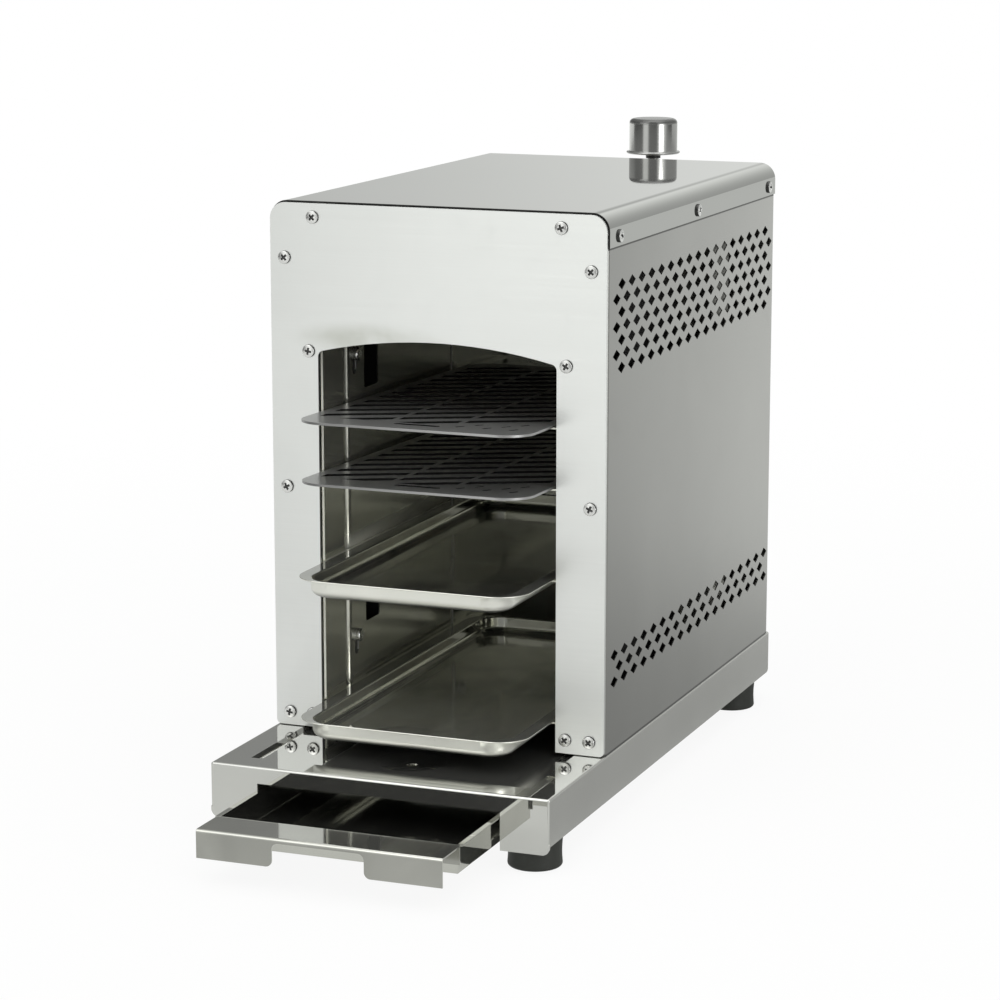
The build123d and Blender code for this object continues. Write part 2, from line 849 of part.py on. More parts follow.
def wall_bolt(depth, height):
    """Domed bolt through strip, wall and stay of the right-hand side with its nut behind."""
    y, z = back(depth), up(height)
    seat = wall_outer + liner_sheet
    head = rod_x((liner_inner - bolt_head_height, liner_inner), y, z, bolt_head_radius)
    head = fillet(head.edges().group_by(Axis.X)[0], 0.4 * bolt_head_height)
    shank = rod_x((liner_inner - 1, seat + bolt_nut_height + 2), y, z, bolt_radius)
    nut = Pos(seat, y, z) * Rot(0, 90, 0) * extrude(
        RegularPolygon(bolt_nut_radius, 6), amount=bolt_nut_height)
    return head + shank + nut


def wall_bolt_set():
    """Bolts of both inner walls."""
    right = [wall_bolt(depth, height) for depth, height in bolt_places()]
    return right + [other_side(bolt) for bolt in right]


def inner_rear_wall():
    """Rear wall of the chamber with holes for the mixer tube and the leads."""
    y = (back(liner_back), back(liner_back) + liner_sheet)
    cut = (y[0] - 5, y[1] + 5)
    wall = block((-wall_outer, wall_outer), y, (recess_floor(), up(liner_height)))
    wall -= rod_y(0, cut, up(mixer_height), mixer_radius + 1)
    for side in (1, -1):
        wall -= rod_y(side * probe_side, cut, up(lead_height), lead_radius + lead_hole_play)
    return wall


def chamber_roof():
    """Heat shield over the burner, resting on the inner walls."""
    y = (back(strip_front), back(liner_back) + liner_sheet)
    low = up(liner_height)
    roof = block((-wall_outer, wall_outer), y, (low, low + roof_sheet))
    lip = block((wall_outer - roof_sheet, wall_outer), y, (low, low + roof_lip))
    return roof + lip + other_side(lip)


def rail(seat):
    """Right-hand rail: a ledge under the shelf's edge and a flange on the post and strips."""
    y = (back(rail_front), back(liner_back - rail_back_gap))
    ledge = block((ledge_inner, liner_inner), y, (seat - rail_sheet, seat))
    flange = block((liner_inner - rail_sheet, liner_inner), y, (seat - rail_flange, seat))
    return ledge + flange


def sloped(shape, height):
    """Tip a level shelf or rail down towards the back, about the shelf's front edge."""
    pivot = Pos(0, back(-rack_reach), up(height))
    return pivot * Rot(-rack_slope, 0, 0) * pivot.inverse() * shape


def rack_rail(height):
    """Right-hand rail of one rack."""
    return sloped(rail(up(height) - rack_thick - seat_clearance), height)


def tray_rail(height):
    """Right-hand rail of one tray."""
    return rail(up(height) - tray_sheet - seat_clearance)


def rail_set():
    """All rails of the right-hand side, from the top down."""
    return [rack_rail(height) for height in rack_heights] + [
        tray_rail(height) for height in tray_heights]


# Shelves

def rack_slots():
    """Cuts of a rack: slanted slots in three columns, the grip slot and short dashes."""
    first = rack_front_band
    last = rack_length - rack_back_band
    edge = shelf_half - rack_rim
    rib_inner = rack_rib_offset - rack_rib_width / 2
    rib_outer = rack_rib_offset + rack_rib_width / 2
    columns = Sketch()
    for low, high in ((-edge, -rib_outer), (-rib_inner, rib_inner), (rib_outer, edge)):
        columns += Pos((low + high) / 2, (first + last) / 2) * Rectangle(high - low, last - first)
    slope = math.tan(math.radians(slot_angle))
    stripes = Sketch()
    count = int((last - slot_start - slot_width) / slot_pitch) + 1
    for index in range(-2, count):
        middle = slot_start + index * slot_pitch + edge * slope
        stripes += Pos(0, middle) * Rot(0, 0, slot_angle) * Rectangle(4 * edge, slot_width)
    cuts = columns & stripes
    cuts += Pos(0, grip_slot_back) * SlotOverall(grip_slot_length, grip_slot_width)
    for x, y in dash_places:
        cuts += Pos(x, y) * Rot(0, 0, dash_angle) * SlotOverall(dash_length, dash_width)
    return cuts


def rack(height):
    """Flat slotted grilling rack, sloped down towards the back."""
    front = back(-rack_reach)
    top = up(height)
    plate = rounded_plate(shelf_half, (front, front + rack_length), (top - rack_thick, top),
                          rack_corner)
    cuts = Pos(0, front, top - 2 * rack_thick) * rack_slots()
    plate -= extrude(cuts, amount=4 * rack_thick)
    return sloped(plate, height)


def tray(height):
    """Drawn pan with a flat rim at each side that hangs on the rails."""
    front = back(-tray_reach)
    rear = front + tray_length
    top = up(height)
    rim = rounded_plate(shelf_half, (front, rear), (top - tray_sheet, top), tray_corner)
    body_half = shelf_half - tray_side_rim
    body_y = (front + tray_front_rim, rear - tray_front_rim)
    body = rounded_plate(body_half, body_y, (top - tray_depth, top), tray_body_corner)
    body = fillet(body.edges().group_by(Axis.Z)[0], tray_floor_radius)
    hollow_y = (body_y[0] + tray_sheet, body_y[1] - tray_sheet)
    hollow = rounded_plate(body_half - tray_sheet, hollow_y,
                           (top - tray_depth + tray_sheet, top + 1),
                           tray_body_corner - tray_sheet)
    hollow = fillet(hollow.edges().group_by(Axis.Z)[0], tray_floor_radius - tray_sheet)
    return rim + body - hollow


# Burner

def burner_housing():
    """Plenum box, open below, with an inward lip that holds the ceramic tiles."""
    y = (back(burner_front), back(burner_front + burner_length))
    z = (up(burner_foot), up(burner_foot + burner_height))
    half = burner_half_width
    box = block((-half, half), y, z)
    box = fillet(box.edges().group_by(Axis.Z)[-1], 2 * burner_sheet)
    inner = half - burner_sheet
    box -= block((-inner, inner), (y[0] + burner_sheet, y[1] - burner_sheet),
                 (z[0] + burner_sheet, z[1] - burner_sheet))
    mouth = half - burner_lip
    box -= block((-mouth, mouth), (y[0] + burner_lip, y[1] - burner_lip),
                 (z[0] - 1, z[0] + 2 * burner_sheet))
    return box - rod_y(0, (y[1] - 5, y[1] + 5), up(mixer_height), mixer_radius + mixer_play)


def ceramic_tiles():
    """Row of perforated ceramic tiles on the housing's lip."""
    inner = burner_half_width - burner_sheet - tile_play
    length = burner_length - 2 * (burner_sheet + tile_play) - (tile_count - 1) * tile_gap
    length /= tile_count
    low = up(burner_foot) + burner_sheet
    tiles = []
    for index in range(tile_count):
        start = back(burner_front + burner_sheet + tile_play + index * (length + tile_gap))
        tiles.append(block((-inner, inner), (start, start + length), (low, low + tile_height)))
    return tiles


def burner_hangers():
    """Four channel brackets between the burner's sides and the wall strips."""
    top = up(burner_foot + burner_height - hanger_drop)
    hangers = []
    for depth in [front + strip_width / 2 for front in strip_fronts]:
        y = (back(depth) - hanger_width / 2, back(depth) + hanger_width / 2)
        bridge = block((burner_half_width, liner_inner), y, (top - burner_sheet, top))
        inner = block((burner_half_width, burner_half_width + burner_sheet), y,
                      (top - hanger_leg, top))
        outer = block((liner_inner - burner_sheet, liner_inner), y, (top - hanger_leg, top))
        hanger = bridge + inner + outer
        hangers += [hanger, other_side(hanger)]
    return hangers


def mixer_tube():
    """Mixer tube from the burner's plenum to its flared mouth at the gas jet."""
    z = up(mixer_height)
    y = (back(burner_front + burner_length - mixer_inside), back(jet_tip + mixer_lap))
    straight_end = y[1] - mixer_mouth_length
    tube = rod_y(0, (y[0], straight_end), z, mixer_radius)
    bore = rod_y(0, (y[0] - 1, straight_end), z, mixer_radius - mixer_wall)
    flare = Pos(0, (straight_end + y[1]) / 2, z) * Rot(-90, 0, 0)
    tube += flare * Cone(mixer_radius, mixer_mouth_radius, mixer_mouth_length)
    bore += flare * Cone(mixer_radius - mixer_wall, mixer_mouth_radius - mixer_wall,
                         mixer_mouth_length)
    return tube - bore


# Gas valve and knob

def bracket_screw_sides():
    """X places of the two screws that hold the valve bracket."""
    x = bracket_half_width - bracket_screw_inset
    return (x, -x)


def bracket_screw_height():
    """Height of those screws above the panel's foot."""
    return valve_foot - bracket_drop + bracket_screw_rise


def valve_bracket():
    """Angle on the rear panel with a shelf under the valve."""
    top = up(valve_foot)
    y = (back(shell_depth), back(valve_back + bracket_margin))
    half = bracket_half_width
    shelf = block((-half, half), y, (top - bracket_sheet, top))
    leg = block((-half, half), (y[0], y[0] + bracket_sheet), (top - bracket_drop, top))
    bracket = shelf + leg
    for x in bracket_screw_sides():
        bracket -= rod_y(x, (y[0] - 1, y[0] + 5), up(bracket_screw_height()), screw_hole_radius)
    return bracket


def bracket_screws():
    """Screws through the bracket into the rear panel."""
    seat = back(shell_depth) + bracket_sheet
    return [Pos(x, seat, up(bracket_screw_height())) * Rot(-90, 0, 0) * pan_screw()
            for x in bracket_screw_sides()]


def valve_body():
    """Cast body: barrel, spindle neck, outlet to the jet, inlet and flame-safety barrel."""
    y = back(valve_back)
    barrel = rod_z(0, y, (up(valve_foot), up(valve_top)), valve_radius)
    neck = rod_z(0, y, (up(valve_top), up(valve_top + valve_neck)), valve_neck_radius)
    inside = valve_radius / 2
    outlet = rod_y(0, (y - outlet_reach, y - inside), up(mixer_height), outlet_radius)
    inlet = rod_x((-inlet_reach, -inside), y, up(inlet_height), outlet_radius)
    safety = rod_y(-safety_side, (y - valve_radius, y + valve_radius), up(lead_height),
                   safety_radius)
    tie = block((-safety_side, -inside), (y - safety_tie_half, y + safety_tie_half),
                (up(lead_height - safety_tie_half), up(lead_height + safety_tie_top)))
    bore = rod_z(0, y, (up(valve_top - spindle_depth), up(valve_top + valve_neck + 1)),
                 spindle_radius + running_fit)
    return barrel + neck + outlet + inlet + safety + tie - bore


def gas_jet():
    """Brass jet on the valve's outlet, its nose in the mixer tube's mouth."""
    z = up(mixer_height)
    seat = back(valve_back - outlet_reach)
    tip = back(jet_tip)
    jet = rod_y(0, (tip + jet_nose, seat), z, jet_radius)
    jet += rod_y(0, (tip, tip + jet_nose), z, jet_nose_radius)
    return jet - rod_y(0, (tip - 1, seat + 1), z, jet_bore)


def inlet_fitting():
    """Brass hose connection on the valve's left side: a hexagon and an outside thread."""
    y, z = back(valve_back), up(inlet_height)
    seat = -inlet_reach
    hexagon = Pos(seat, y, z) * Rot(0, -90, 0) * extrude(
        RegularPolygon(hex_radius, 6), amount=hex_length)
    thread_end = seat - hex_length - thread_length
    thread = rod_x((thread_end, seat - hex_length), y, z, thread_radius)
    end = thread.edges().group_by(Axis.X)[0]
    thread = chamfer(end, 0.8)
    return hexagon + thread - rod_x((thread_end - 1, seat + 1), y, z, inlet_bore)


def valve_spindle():
    """Spindle from the valve up into the knob's hub."""
    low = up(valve_top - spindle_depth + knob_travel + 1)
    return rod_z(0, back(valve_back), (low, up(hub_foot + hub_overlap)), spindle_radius)


def push_collar():
    """Thrust collar on the spindle that goes down with the knob but doesn't turn."""
    y = back(valve_back)
    z = (up(collar_foot), up(collar_foot + collar_height))
    return rod_z(0, y, z, collar_radius) - rod_z(0, y, (z[0] - 1, z[1] + 1),
                                                 spindle_radius + running_fit)


def knob_hub():
    """Moulded core of the knob: a stem over the spindle and a disc that fills the cap."""
    y = back(valve_back)
    disc_low = up(knob_foot) + knob_rim_height
    inner = knob_radius - knob_wall - 0.05
    stem = rod_z(0, y, (up(hub_foot), disc_low + 1), hub_radius)
    disc = rod_z(0, y, (disc_low, disc_low + knob_height / 2), inner)
    bore = rod_z(0, y, (up(hub_foot) - 1, up(hub_foot + hub_overlap)), spindle_radius + hub_play)
    return stem + disc - bore


def knob_cap():
    """Spun metal cap with a rounded top edge and a small rim."""
    y = back(valve_back)
    low, top = up(knob_foot), up(knob_foot + knob_height)
    cap = rod_z(0, y, (low, top), knob_radius)
    cap = fillet(cap.edges().group_by(Axis.Z)[-1], knob_edge)
    rim = rod_z(0, y, (low, low + knob_rim_height), knob_rim_radius)
    rim = fillet(rim.edges(), knob_rim_height / 3)
    inner = knob_radius - knob_wall
    hollow = rod_z(0, y, (low - 1, top - knob_wall), inner)
    hollow = fillet(hollow.edges().group_by(Axis.Z)[-1], knob_edge - knob_wall)
    return cap + rim - hollow


# Ignition

def piezo_box():
    """Spark generator clamped to the valve's right side."""
    x = (valve_radius - 0.6, valve_radius + piezo_width)
    y = back(valve_back)
    z = (up(valve_foot + piezo_rise), up(valve_foot + piezo_rise + piezo_height))
    box = block(x, (y - piezo_length / 2, y + piezo_length / 2), z)
    return box - rod_z(0, y, (z[0] - 1, z[1] + 1), valve_radius)


def probe_y():
    """Y of the spark electrode and the flame probe behind the burner."""
    return back(burner_front + burner_length + probe_back)


def probe_bracket():
    """Angle on the burner's rear wall that holds the electrode and the flame probe."""
    wall = back(burner_front + burner_length)
    half = probe_side + probe_plate_side
    seat = up((probe_top + probe_foot) / 2)
    plate = block((-half, half), (wall, probe_y() + probe_plate_back), (seat, seat + probe_plate))
    leg = block((-half, half), (wall, wall + probe_plate),
                (seat - probe_plate_leg, seat + probe_plate))
    bracket = plate + leg
    z = (seat - 5, seat + 5)
    bracket -= rod_z(probe_side, probe_y(), z, electrode_radius + probe_play)
    return bracket - rod_z(-probe_side, probe_y(), z, thermo_radius + probe_play)


def spark_electrode():
    """Ceramic rod with a wire that turns in under the last tile."""
    x, y = probe_side, probe_y()
    rod = rod_z(x, y, (up(probe_foot), up(probe_top)), electrode_radius)
    drop = rod_z(x, y, (up(probe_tip), up(probe_foot)), electrode_wire)
    tip = rod_y(x, (y - electrode_reach, y), up(probe_tip), electrode_wire)
    return rod + drop + tip + Pos(x, y, up(probe_tip)) * Sphere(electrode_wire)


def flame_probe():
    """Thermocouple of the flame-safety valve."""
    x, y = -probe_side, probe_y()
    sleeve = rod_z(x, y, (up(probe_foot), up(probe_top)), thermo_radius)
    return sleeve + rod_z(x, y, (up(probe_tip), up(probe_foot)), thermo_tip_radius)


def lead(side, end_depth):
    """Lead from a probe's top, up and back through the rear panel to the valve."""
    x = side * probe_side
    start = Vector(x, probe_y(), up(probe_top))
    corner = Vector(x, probe_y(), up(lead_height))
    end = Vector(x, back(end_depth), up(lead_height))
    bend = 0.45 * (lead_height - probe_top)
    path = FilletPolyline(start, corner, end, radius=bend)
    profile = Plane(origin=start, z_dir=(0, 0, 1)) * Circle(lead_radius)
    return sweep(profile, path=path)


def main():
    os.makedirs("parts", exist_ok=True)
    write("base_shell", base_shell())
    names = ("foot_front_right", "foot_front_left", "foot_rear_right", "foot_rear_left")
    for name, (x, y) in zip(names, foot_places()):
        write(name, foot(x, y))
    write("foot_screws", foot_screws())
    write("base_screws", base_screws())
    write("drip_drawer", drip_drawer())
    write("drawer_handle", drawer_handle())
    write("drawer_runner_right", drawer_runner())
    write("drawer_runner_left", other_side(drawer_runner()))
    write("front_panel", front_panel())
    write("front_panel_screws", panel_screw_set())
    write("front_post_right", front_post())
    write("front_post_left", other_side(front_post()))
    write("front_header", front_header())
    side = side_panel()
    write("side_panel_right", side)
    write("side_panel_left", other_side(side))
    write("hood", hood())
    write("hood_screws", hood_screw_set())
    write("rear_panel", rear_panel())
    write("rear_screws", rear_screw_set())
    wall = inner_wall()
    write("inner_wall_right", wall)
    write("inner_wall_left", other_side(wall))
    strips = wall_strips()
    write("wall_strips_right", strips)
    write("wall_strips_left", [other_side(piece) for piece in strips])
    stays = wall_stays()
    write("wall_stays_right", stays)
    write("wall_stays_left", [other_side(piece) for piece in stays])
    write("inner_wall_bolts", wall_bolt_set())
    write("inner_rear_wall", inner_rear_wall())
    write("chamber_roof", chamber_roof())
    rails = rail_set()
    write("shelf_rails_right", rails)
    write("shelf_rails_left", [other_side(piece) for piece in rails])
    for name, height in zip(("upper_rack", "lower_rack"), rack_heights):
        write(name, rack(height))
    for name, height in zip(("upper_tray", "lower_tray"), tray_heights):
        write(name, tray(height))
    write("burner_housing", burner_housing())
    write("ceramic_tiles", ceramic_tiles())
    write("burner_hangers", burner_hangers())
    write("mixer_tube", mixer_tube())
    write("valve_bracket", valve_bracket())
    write("bracket_screws", bracket_screws())
    write("valve_body", valve_body())
    write("gas_jet", gas_jet())
    write("inlet_fitting", inlet_fitting())
    write("valve_spindle", valve_spindle())
    write("push_collar", push_collar())
    write("knob_hub", knob_hub())
    write("knob_cap", knob_cap())
    write("piezo_box", piezo_box())
    write("probe_bracket", probe_bracket())
    write("spark_electrode", spark_electrode())
    write("flame_probe", flame_probe())
    write("ignition_lead", lead(1, valve_back - piezo_length / 2))
    write("flame_probe_lead", lead(-1, valve_back - valve_radius))


main()
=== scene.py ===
import json
import math

import bmesh
import bpy
import numpy as np
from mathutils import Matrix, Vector


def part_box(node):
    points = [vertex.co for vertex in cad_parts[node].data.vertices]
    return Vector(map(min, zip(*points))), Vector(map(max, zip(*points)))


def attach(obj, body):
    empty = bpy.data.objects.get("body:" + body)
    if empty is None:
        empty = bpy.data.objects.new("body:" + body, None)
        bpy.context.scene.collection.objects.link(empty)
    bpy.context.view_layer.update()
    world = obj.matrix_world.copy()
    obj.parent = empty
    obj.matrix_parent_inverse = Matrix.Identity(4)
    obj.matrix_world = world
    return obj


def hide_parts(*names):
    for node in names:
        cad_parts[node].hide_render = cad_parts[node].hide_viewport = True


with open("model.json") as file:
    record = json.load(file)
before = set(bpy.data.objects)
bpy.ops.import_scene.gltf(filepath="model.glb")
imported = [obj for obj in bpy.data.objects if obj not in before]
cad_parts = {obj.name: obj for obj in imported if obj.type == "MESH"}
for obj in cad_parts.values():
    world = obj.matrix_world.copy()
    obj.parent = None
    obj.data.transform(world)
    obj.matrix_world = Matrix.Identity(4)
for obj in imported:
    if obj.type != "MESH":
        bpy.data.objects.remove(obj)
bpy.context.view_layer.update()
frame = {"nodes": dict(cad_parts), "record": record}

nodes = frame["nodes"]
print("frame loaded:", len(nodes), "nodes")

# What finishes and camera are placed from, in metres: the panel's face and foot, the base's top,
# and the hood's foot and top
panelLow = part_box("front_panel")[0]
faceY = panelLow.y
footZ = panelLow.z
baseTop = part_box("base_shell")[1].z
hoodFoot, hoodTop = (corner.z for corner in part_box("hood"))


# Camera, at the photograph's viewing angle

camera = {
    "lens": 114.23,
    "sensor": 36.0,
    "fromFace": (0.7324, -1.7626, 0.5368),
    "azimuth": 21.388,
    "elevation": 11.389,
}


def makeCamera():
    x, y, z = camera["fromFace"]
    data = bpy.data.cameras.new("camera")
    data.lens = camera["lens"]
    data.sensor_width = camera["sensor"]
    data.clip_start = 0.05
    data.clip_end = 50
    eye = bpy.data.objects.new("camera", data)
    eye.location = (x, faceY + y, footZ + z)
    eye.rotation_euler = (math.radians(90 - camera["elevation"]), 0, math.radians(camera["azimuth"]))
    bpy.context.scene.collection.objects.link(eye)
    bpy.context.scene.camera = eye


makeCamera()
print("camera placed")


# Shader maths written as Python expressions

class Wire:
    # One output socket. Sums, products and powers of wires add Math nodes.

    def __init__(self, shader, socket):
        self.shader = shader
        self.socket = socket

    def maths(self, operation, first, second):
        return self.shader.node("ShaderNodeMath", {"operation": operation}, {0: first, 1: second})

    def __add__(self, other):
        return self.maths("ADD", self, other)

    def __sub__(self, other):
        return self.maths("SUBTRACT", self, other)

    def __mul__(self, other):
        return self.maths("MULTIPLY", self, other)

    def __pow__(self, other):
        return self.maths("POWER", self, other)

    def __rsub__(self, other):
        return self.maths("SUBTRACT", other, self)

    __radd__ = __add__
    __rmul__ = __mul__


class Shader:
    # A node tree under construction

    def __init__(self, tree):
        self.tree = tree
        self.tree.nodes.clear()

    # Adds a node: its settings first, then the values or wires of its inputs
    def node(self, kind, settings, inputs, output=0):
        made = self.tree.nodes.new(kind)
        for name, value in settings.items():
            setattr(made, name, value)
        for name, value in inputs.items():
            if isinstance(value, Wire):
                self.tree.links.new(value.socket, made.inputs[name])
            else:
                made.inputs[name].default_value = value
        return Wire(self, made.outputs[output]) if made.outputs else made

    # Object coordinates, stretched by a factor along each axis and then shifted
    def place(self, scale=(1, 1, 1), shift=(0, 0, 0)):
        coords = self.node("ShaderNodeTexCoord", {}, {}, "Object")
        return self.node("ShaderNodeMapping", {"vector_type": "POINT"},
                         {"Vector": coords, "Scale": scale, "Location": shift})

    # One object coordinate
    def axis(self, letter):
        coords = self.node("ShaderNodeTexCoord", {}, {}, "Object")
        return self.node("ShaderNodeSeparateXYZ", {}, {"Vector": coords}, letter)

    def noise(self, vector, scale=1.0, detail=2.0, roughness=0.5, distortion=0.0):
        return self.node("ShaderNodeTexNoise", {}, {
            "Vector": vector, "Scale": scale, "Detail": detail, "Roughness": roughness,
            "Distortion": distortion})

    # Steps a mask: 0 below the first level, 1 above the second
    def step(self, value, low, high):
        return self.node("ShaderNodeMapRange", {"interpolation_type": "SMOOTHSTEP"}, {
            "Value": value, "From Min": low, "From Max": high, "To Min": 0.0, "To Max": 1.0})

    def mix(self, factor, first, second):
        return self.node("ShaderNodeMix", {"data_type": "RGBA"},
                         {"Factor": factor, 6: first, 7: second}, 2)

    # Multiplies a colour by a factor, which may be more than 1
    def scaled(self, colour, factor):
        return self.node("ShaderNodeVectorMath", {"operation": "SCALE"}, {0: colour, "Scale": factor})

    # A factor that is the change inside a band along an axis, and 1 outside it
    def band(self, axis, low, high, soft, change):
        along = self.axis(axis)
        inside = self.step(along, low - soft, low + soft) * (
            1.0 - self.step(along, high - soft, high + soft))
        return 1.0 + (change - 1.0) * inside

    def bump(self, height, depth):
        return self.node("ShaderNodeBump", {}, {
            "Height": height, "Distance": depth, "Strength": 1.0})


def newMaterial(name, build):
    material = bpy.data.materials.new(name)
    material.use_nodes = True
    shader = Shader(material.node_tree)
    surface = build(shader)
    shader.node("ShaderNodeOutputMaterial", {}, {"Surface": surface})
    return material


def grey(level, tint=(1.0, 1.0, 0.985)):
    return tuple(level * part for part in tint) + (1.0,)


# Finishes

# Sheet steel. grain stretches the polishing lines: small along them and large across them.
# cloud is the soft unevenness of rolled sheet; where it is strong, on the trays and the handle's lip,
# it also stands for painted reflections. smudge is the handling marks in the polish. lift brightens
# along an axis: a painted gradient of light. A band is an axis, its two ends, its softness and a factor:
# bands scale the colour, as painted shade or painted highlight, and mattBands how metallic it is.
def sheetSteel(name, settings):
    def build(shader):
        streaks = shader.noise(shader.place(settings["grain"]), 1.0, 3.0, 0.6)
        finer = shader.noise(shader.place(tuple(3.1 * part for part in settings["grain"])), 1.0, 2.0)
        lines = 0.6 * streaks + 0.4 * finer
        cloud = shader.noise(shader.place(), settings["cloudScale"], 3.0, 0.5, 0.6)
        smudge = shader.step(shader.noise(shader.place(shift=(3.1, 1.7, 0.4)), 34.0, 5.0, 0.62, 0.8),
                             0.56, 0.80)
        level = 1.0 + settings["streak"] * (lines - 0.5) + settings["cloud"] * (cloud - 0.5)
        if "lift" in settings:
            axis, perMetre = settings["lift"]
            level = level + perMetre * shader.axis(axis)
        dark = grey(settings["level"] * 0.5, settings["tint"])
        light = grey(settings["level"] * 1.5, settings["tint"])
        colour = shader.mix(level - 0.5, dark, light)
        for band in settings.get("bands", ()):
            colour = shader.scaled(colour, shader.band(*band))
        metal = settings.get("metal", 1.0)
        for band in settings.get("mattBands", ()):
            metal = metal * shader.band(*band)
        if "oliveCloud" in settings:
            colour = addOliveCloud(shader, colour, settings["oliveCloud"])
        rough = (settings["rough"] + settings["roughLines"] * (lines - 0.5)
                 + settings["roughCloud"] * (cloud - 0.5) + settings["smudge"] * smudge)
        normal = shader.bump(lines, settings["depth"])
        return shader.node("ShaderNodeBsdfPrincipled", {}, {
            "Base Color": colour, "Metallic": metal, "Roughness": rough, "Normal": normal}, "BSDF")
    return newMaterial(name, build)


# A faint olive cloud: noise inside an oval, which fades out at the oval's edge
def addOliveCloud(shader, colour, oliveCloud):
    scale = tuple(1.0 / part for part in oliveCloud["radius"])
    shift = tuple(-place / part for place, part in zip(oliveCloud["centre"], oliveCloud["radius"]))
    oval = shader.node("ShaderNodeVectorMath", {"operation": "LENGTH"},
                       {0: shader.place(scale, shift=shift)}, "Value")
    patch = shader.noise(shader.place((1, 1, 1.6)), 26.0, 3.0, 0.5, 0.2)
    mask = (1.0 - shader.step(oval, 0.25, 1.0)) * shader.step(patch, 0.22, 0.72)
    return shader.mix(oliveCloud["strength"] * mask, colour, oliveCloud["colour"])


# The front panel's lift makes it lighter to the right: a painted gradient of light.
frontFinish = {
    "level": 0.88, "tint": (0.99, 1.0, 0.985), "grain": (6, 6, 760), "cloudScale": 13.0,
    "streak": 0.07, "cloud": 0.18, "rough": 0.32, "roughLines": 0.16, "roughCloud": 0.08,
    "smudge": 0.03, "depth": 0.000008, "lift": ("X", 0.35),
    "oliveCloud": {"centre": (-0.045, faceY, footZ + 0.249), "radius": (0.060, 0.05, 0.013),
              "colour": (0.52, 0.53, 0.47, 1), "strength": 0.70},
}
# The side panel's lift makes it lighter towards the rear, a painted gradient of light. Its bands are
# painted shade: a dark line under the hood's flange and one along its foot at the base.
sideFinish = {
    "level": 0.45, "tint": (1.0, 1.0, 0.965), "grain": (700, 12, 700), "cloudScale": 8.0,
    "streak": 0.05, "cloud": 0.24, "rough": 0.30, "roughLines": 0.08, "roughCloud": 0.06,
    "smudge": 0.03, "depth": 0.000006, "lift": ("Y", 1.2),
    "bands": [("Z", hoodFoot - 0.0013, hoodFoot + 0.01, 0.0003, 0.12),
              ("Z", baseTop - 0.01, baseTop + 0.0012, 0.0004, 0.30)],
}
# The hood's band darkens it below its top, on its side flanges: painted shade.
hoodFinish = {
    "level": 0.68, "tint": (0.99, 1.0, 0.965), "grain": (14, 600, 600), "cloudScale": 6.0,
    "streak": 0.03, "cloud": 0.08, "rough": 0.025, "roughLines": 0.012, "roughCloud": 0.01,
    "smudge": 0.02, "depth": 0.0000004, "bands": [("Z", 0.0, hoodTop - 0.006, 0.005, 0.72)],
}
baseFinish = {
    "level": 0.655, "tint": (1.0, 1.0, 0.96), "grain": (14, 500, 500), "cloudScale": 12.0,
    "streak": 0.03, "cloud": 0.16, "rough": 0.030, "roughLines": 0.015, "roughCloud": 0.01,
    "smudge": 0.02, "depth": 0.0000004, "metal": 0.94,
}
# The chamber's bands are painted light: darker above 210 mm, painted shade, and lighter and less metallic
# from 76 to 112 mm, a painted pool of light.
chamberFinish = {
    "level": 0.72, "tint": (1.0, 1.0, 0.90), "grain": (500, 500, 14), "cloudScale": 9.0,
    "streak": 0.04, "cloud": 0.34, "rough": 0.20, "roughLines": 0.05, "roughCloud": 0.06,
    "smudge": 0.0, "depth": 0.000002, "metal": 0.86,
    "bands": [("Z", footZ + 0.21, 1.0, 0.035, 0.35),
              ("Z", footZ + 0.076, footZ + 0.112, 0.008, 1.35)],
    "mattBands": [("Z", footZ + 0.076, footZ + 0.112, 0.008, 0.12)],
}
# The front posts keep the chamber's painted shade above, are darkened towards the front, painted shade,
# and carry a light matt strip just behind that, a painted highlight of the bend.
postFinish = dict(chamberFinish, bands=[
    ("Z", footZ + 0.21, 1.0, 0.035, 0.45), ("Y", -1.0, faceY + 0.0060, 0.0003, 0.12),
    ("Y", faceY + 0.0060, faceY + 0.0092, 0.0003, 2.6)],
    mattBands=[("Y", faceY + 0.0060, faceY + 0.0092, 0.0003, 0.05)])
burnerFinish = {
    "level": 0.34, "tint": (1.0, 0.98, 0.92), "grain": (300, 20, 300), "cloudScale": 18.0,
    "streak": 0.08, "cloud": 0.25, "rough": 0.38, "roughLines": 0.10, "roughCloud": 0.10,
    "smudge": 0.08, "depth": 0.000008,
}
rackFinish = {
    "level": 0.26, "tint": (1.0, 1.0, 0.995), "grain": (40, 700, 700), "cloudScale": 16.0,
    "streak": 0.10, "cloud": 0.20, "rough": 0.30, "roughLines": 0.08, "roughCloud": 0.08,
    "smudge": 0.04, "depth": 0.000004, "metal": 0.54,
}
trayFinish = {
    "level": 0.78, "tint": (1.0, 1.0, 0.93), "grain": (500, 16, 500), "cloudScale": 24.0,
    "streak": 0.05, "cloud": 0.60, "rough": 0.10, "roughLines": 0.05, "roughCloud": 0.12,
    "smudge": 0.10, "depth": 0.000002, "metal": 0.95,
    "mattBands": [("Z", 0.0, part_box("lower_tray")[1].z + 0.002, 0.001, 0.93)],
}
drawerFinish = {
    "level": 0.60, "tint": (1.0, 1.0, 0.93), "grain": (14, 500, 500), "cloudScale": 16.0,
    "streak": 0.03, "cloud": 0.40, "rough": 0.05, "roughLines": 0.02, "roughCloud": 0.03,
    "smudge": 0.03, "depth": 0.0000006, "metal": 0.98,
}
# The handle's lip and top are darker copies of the drawer steel: painted shade. The lip's strong clouds
# are painted reflections of shade on the floor.
lipFinish = dict(drawerFinish, level=0.42, cloud=0.80, rough=0.16)
gripFinish = dict(drawerFinish, level=0.42, rough=0.06, metal=0.86)


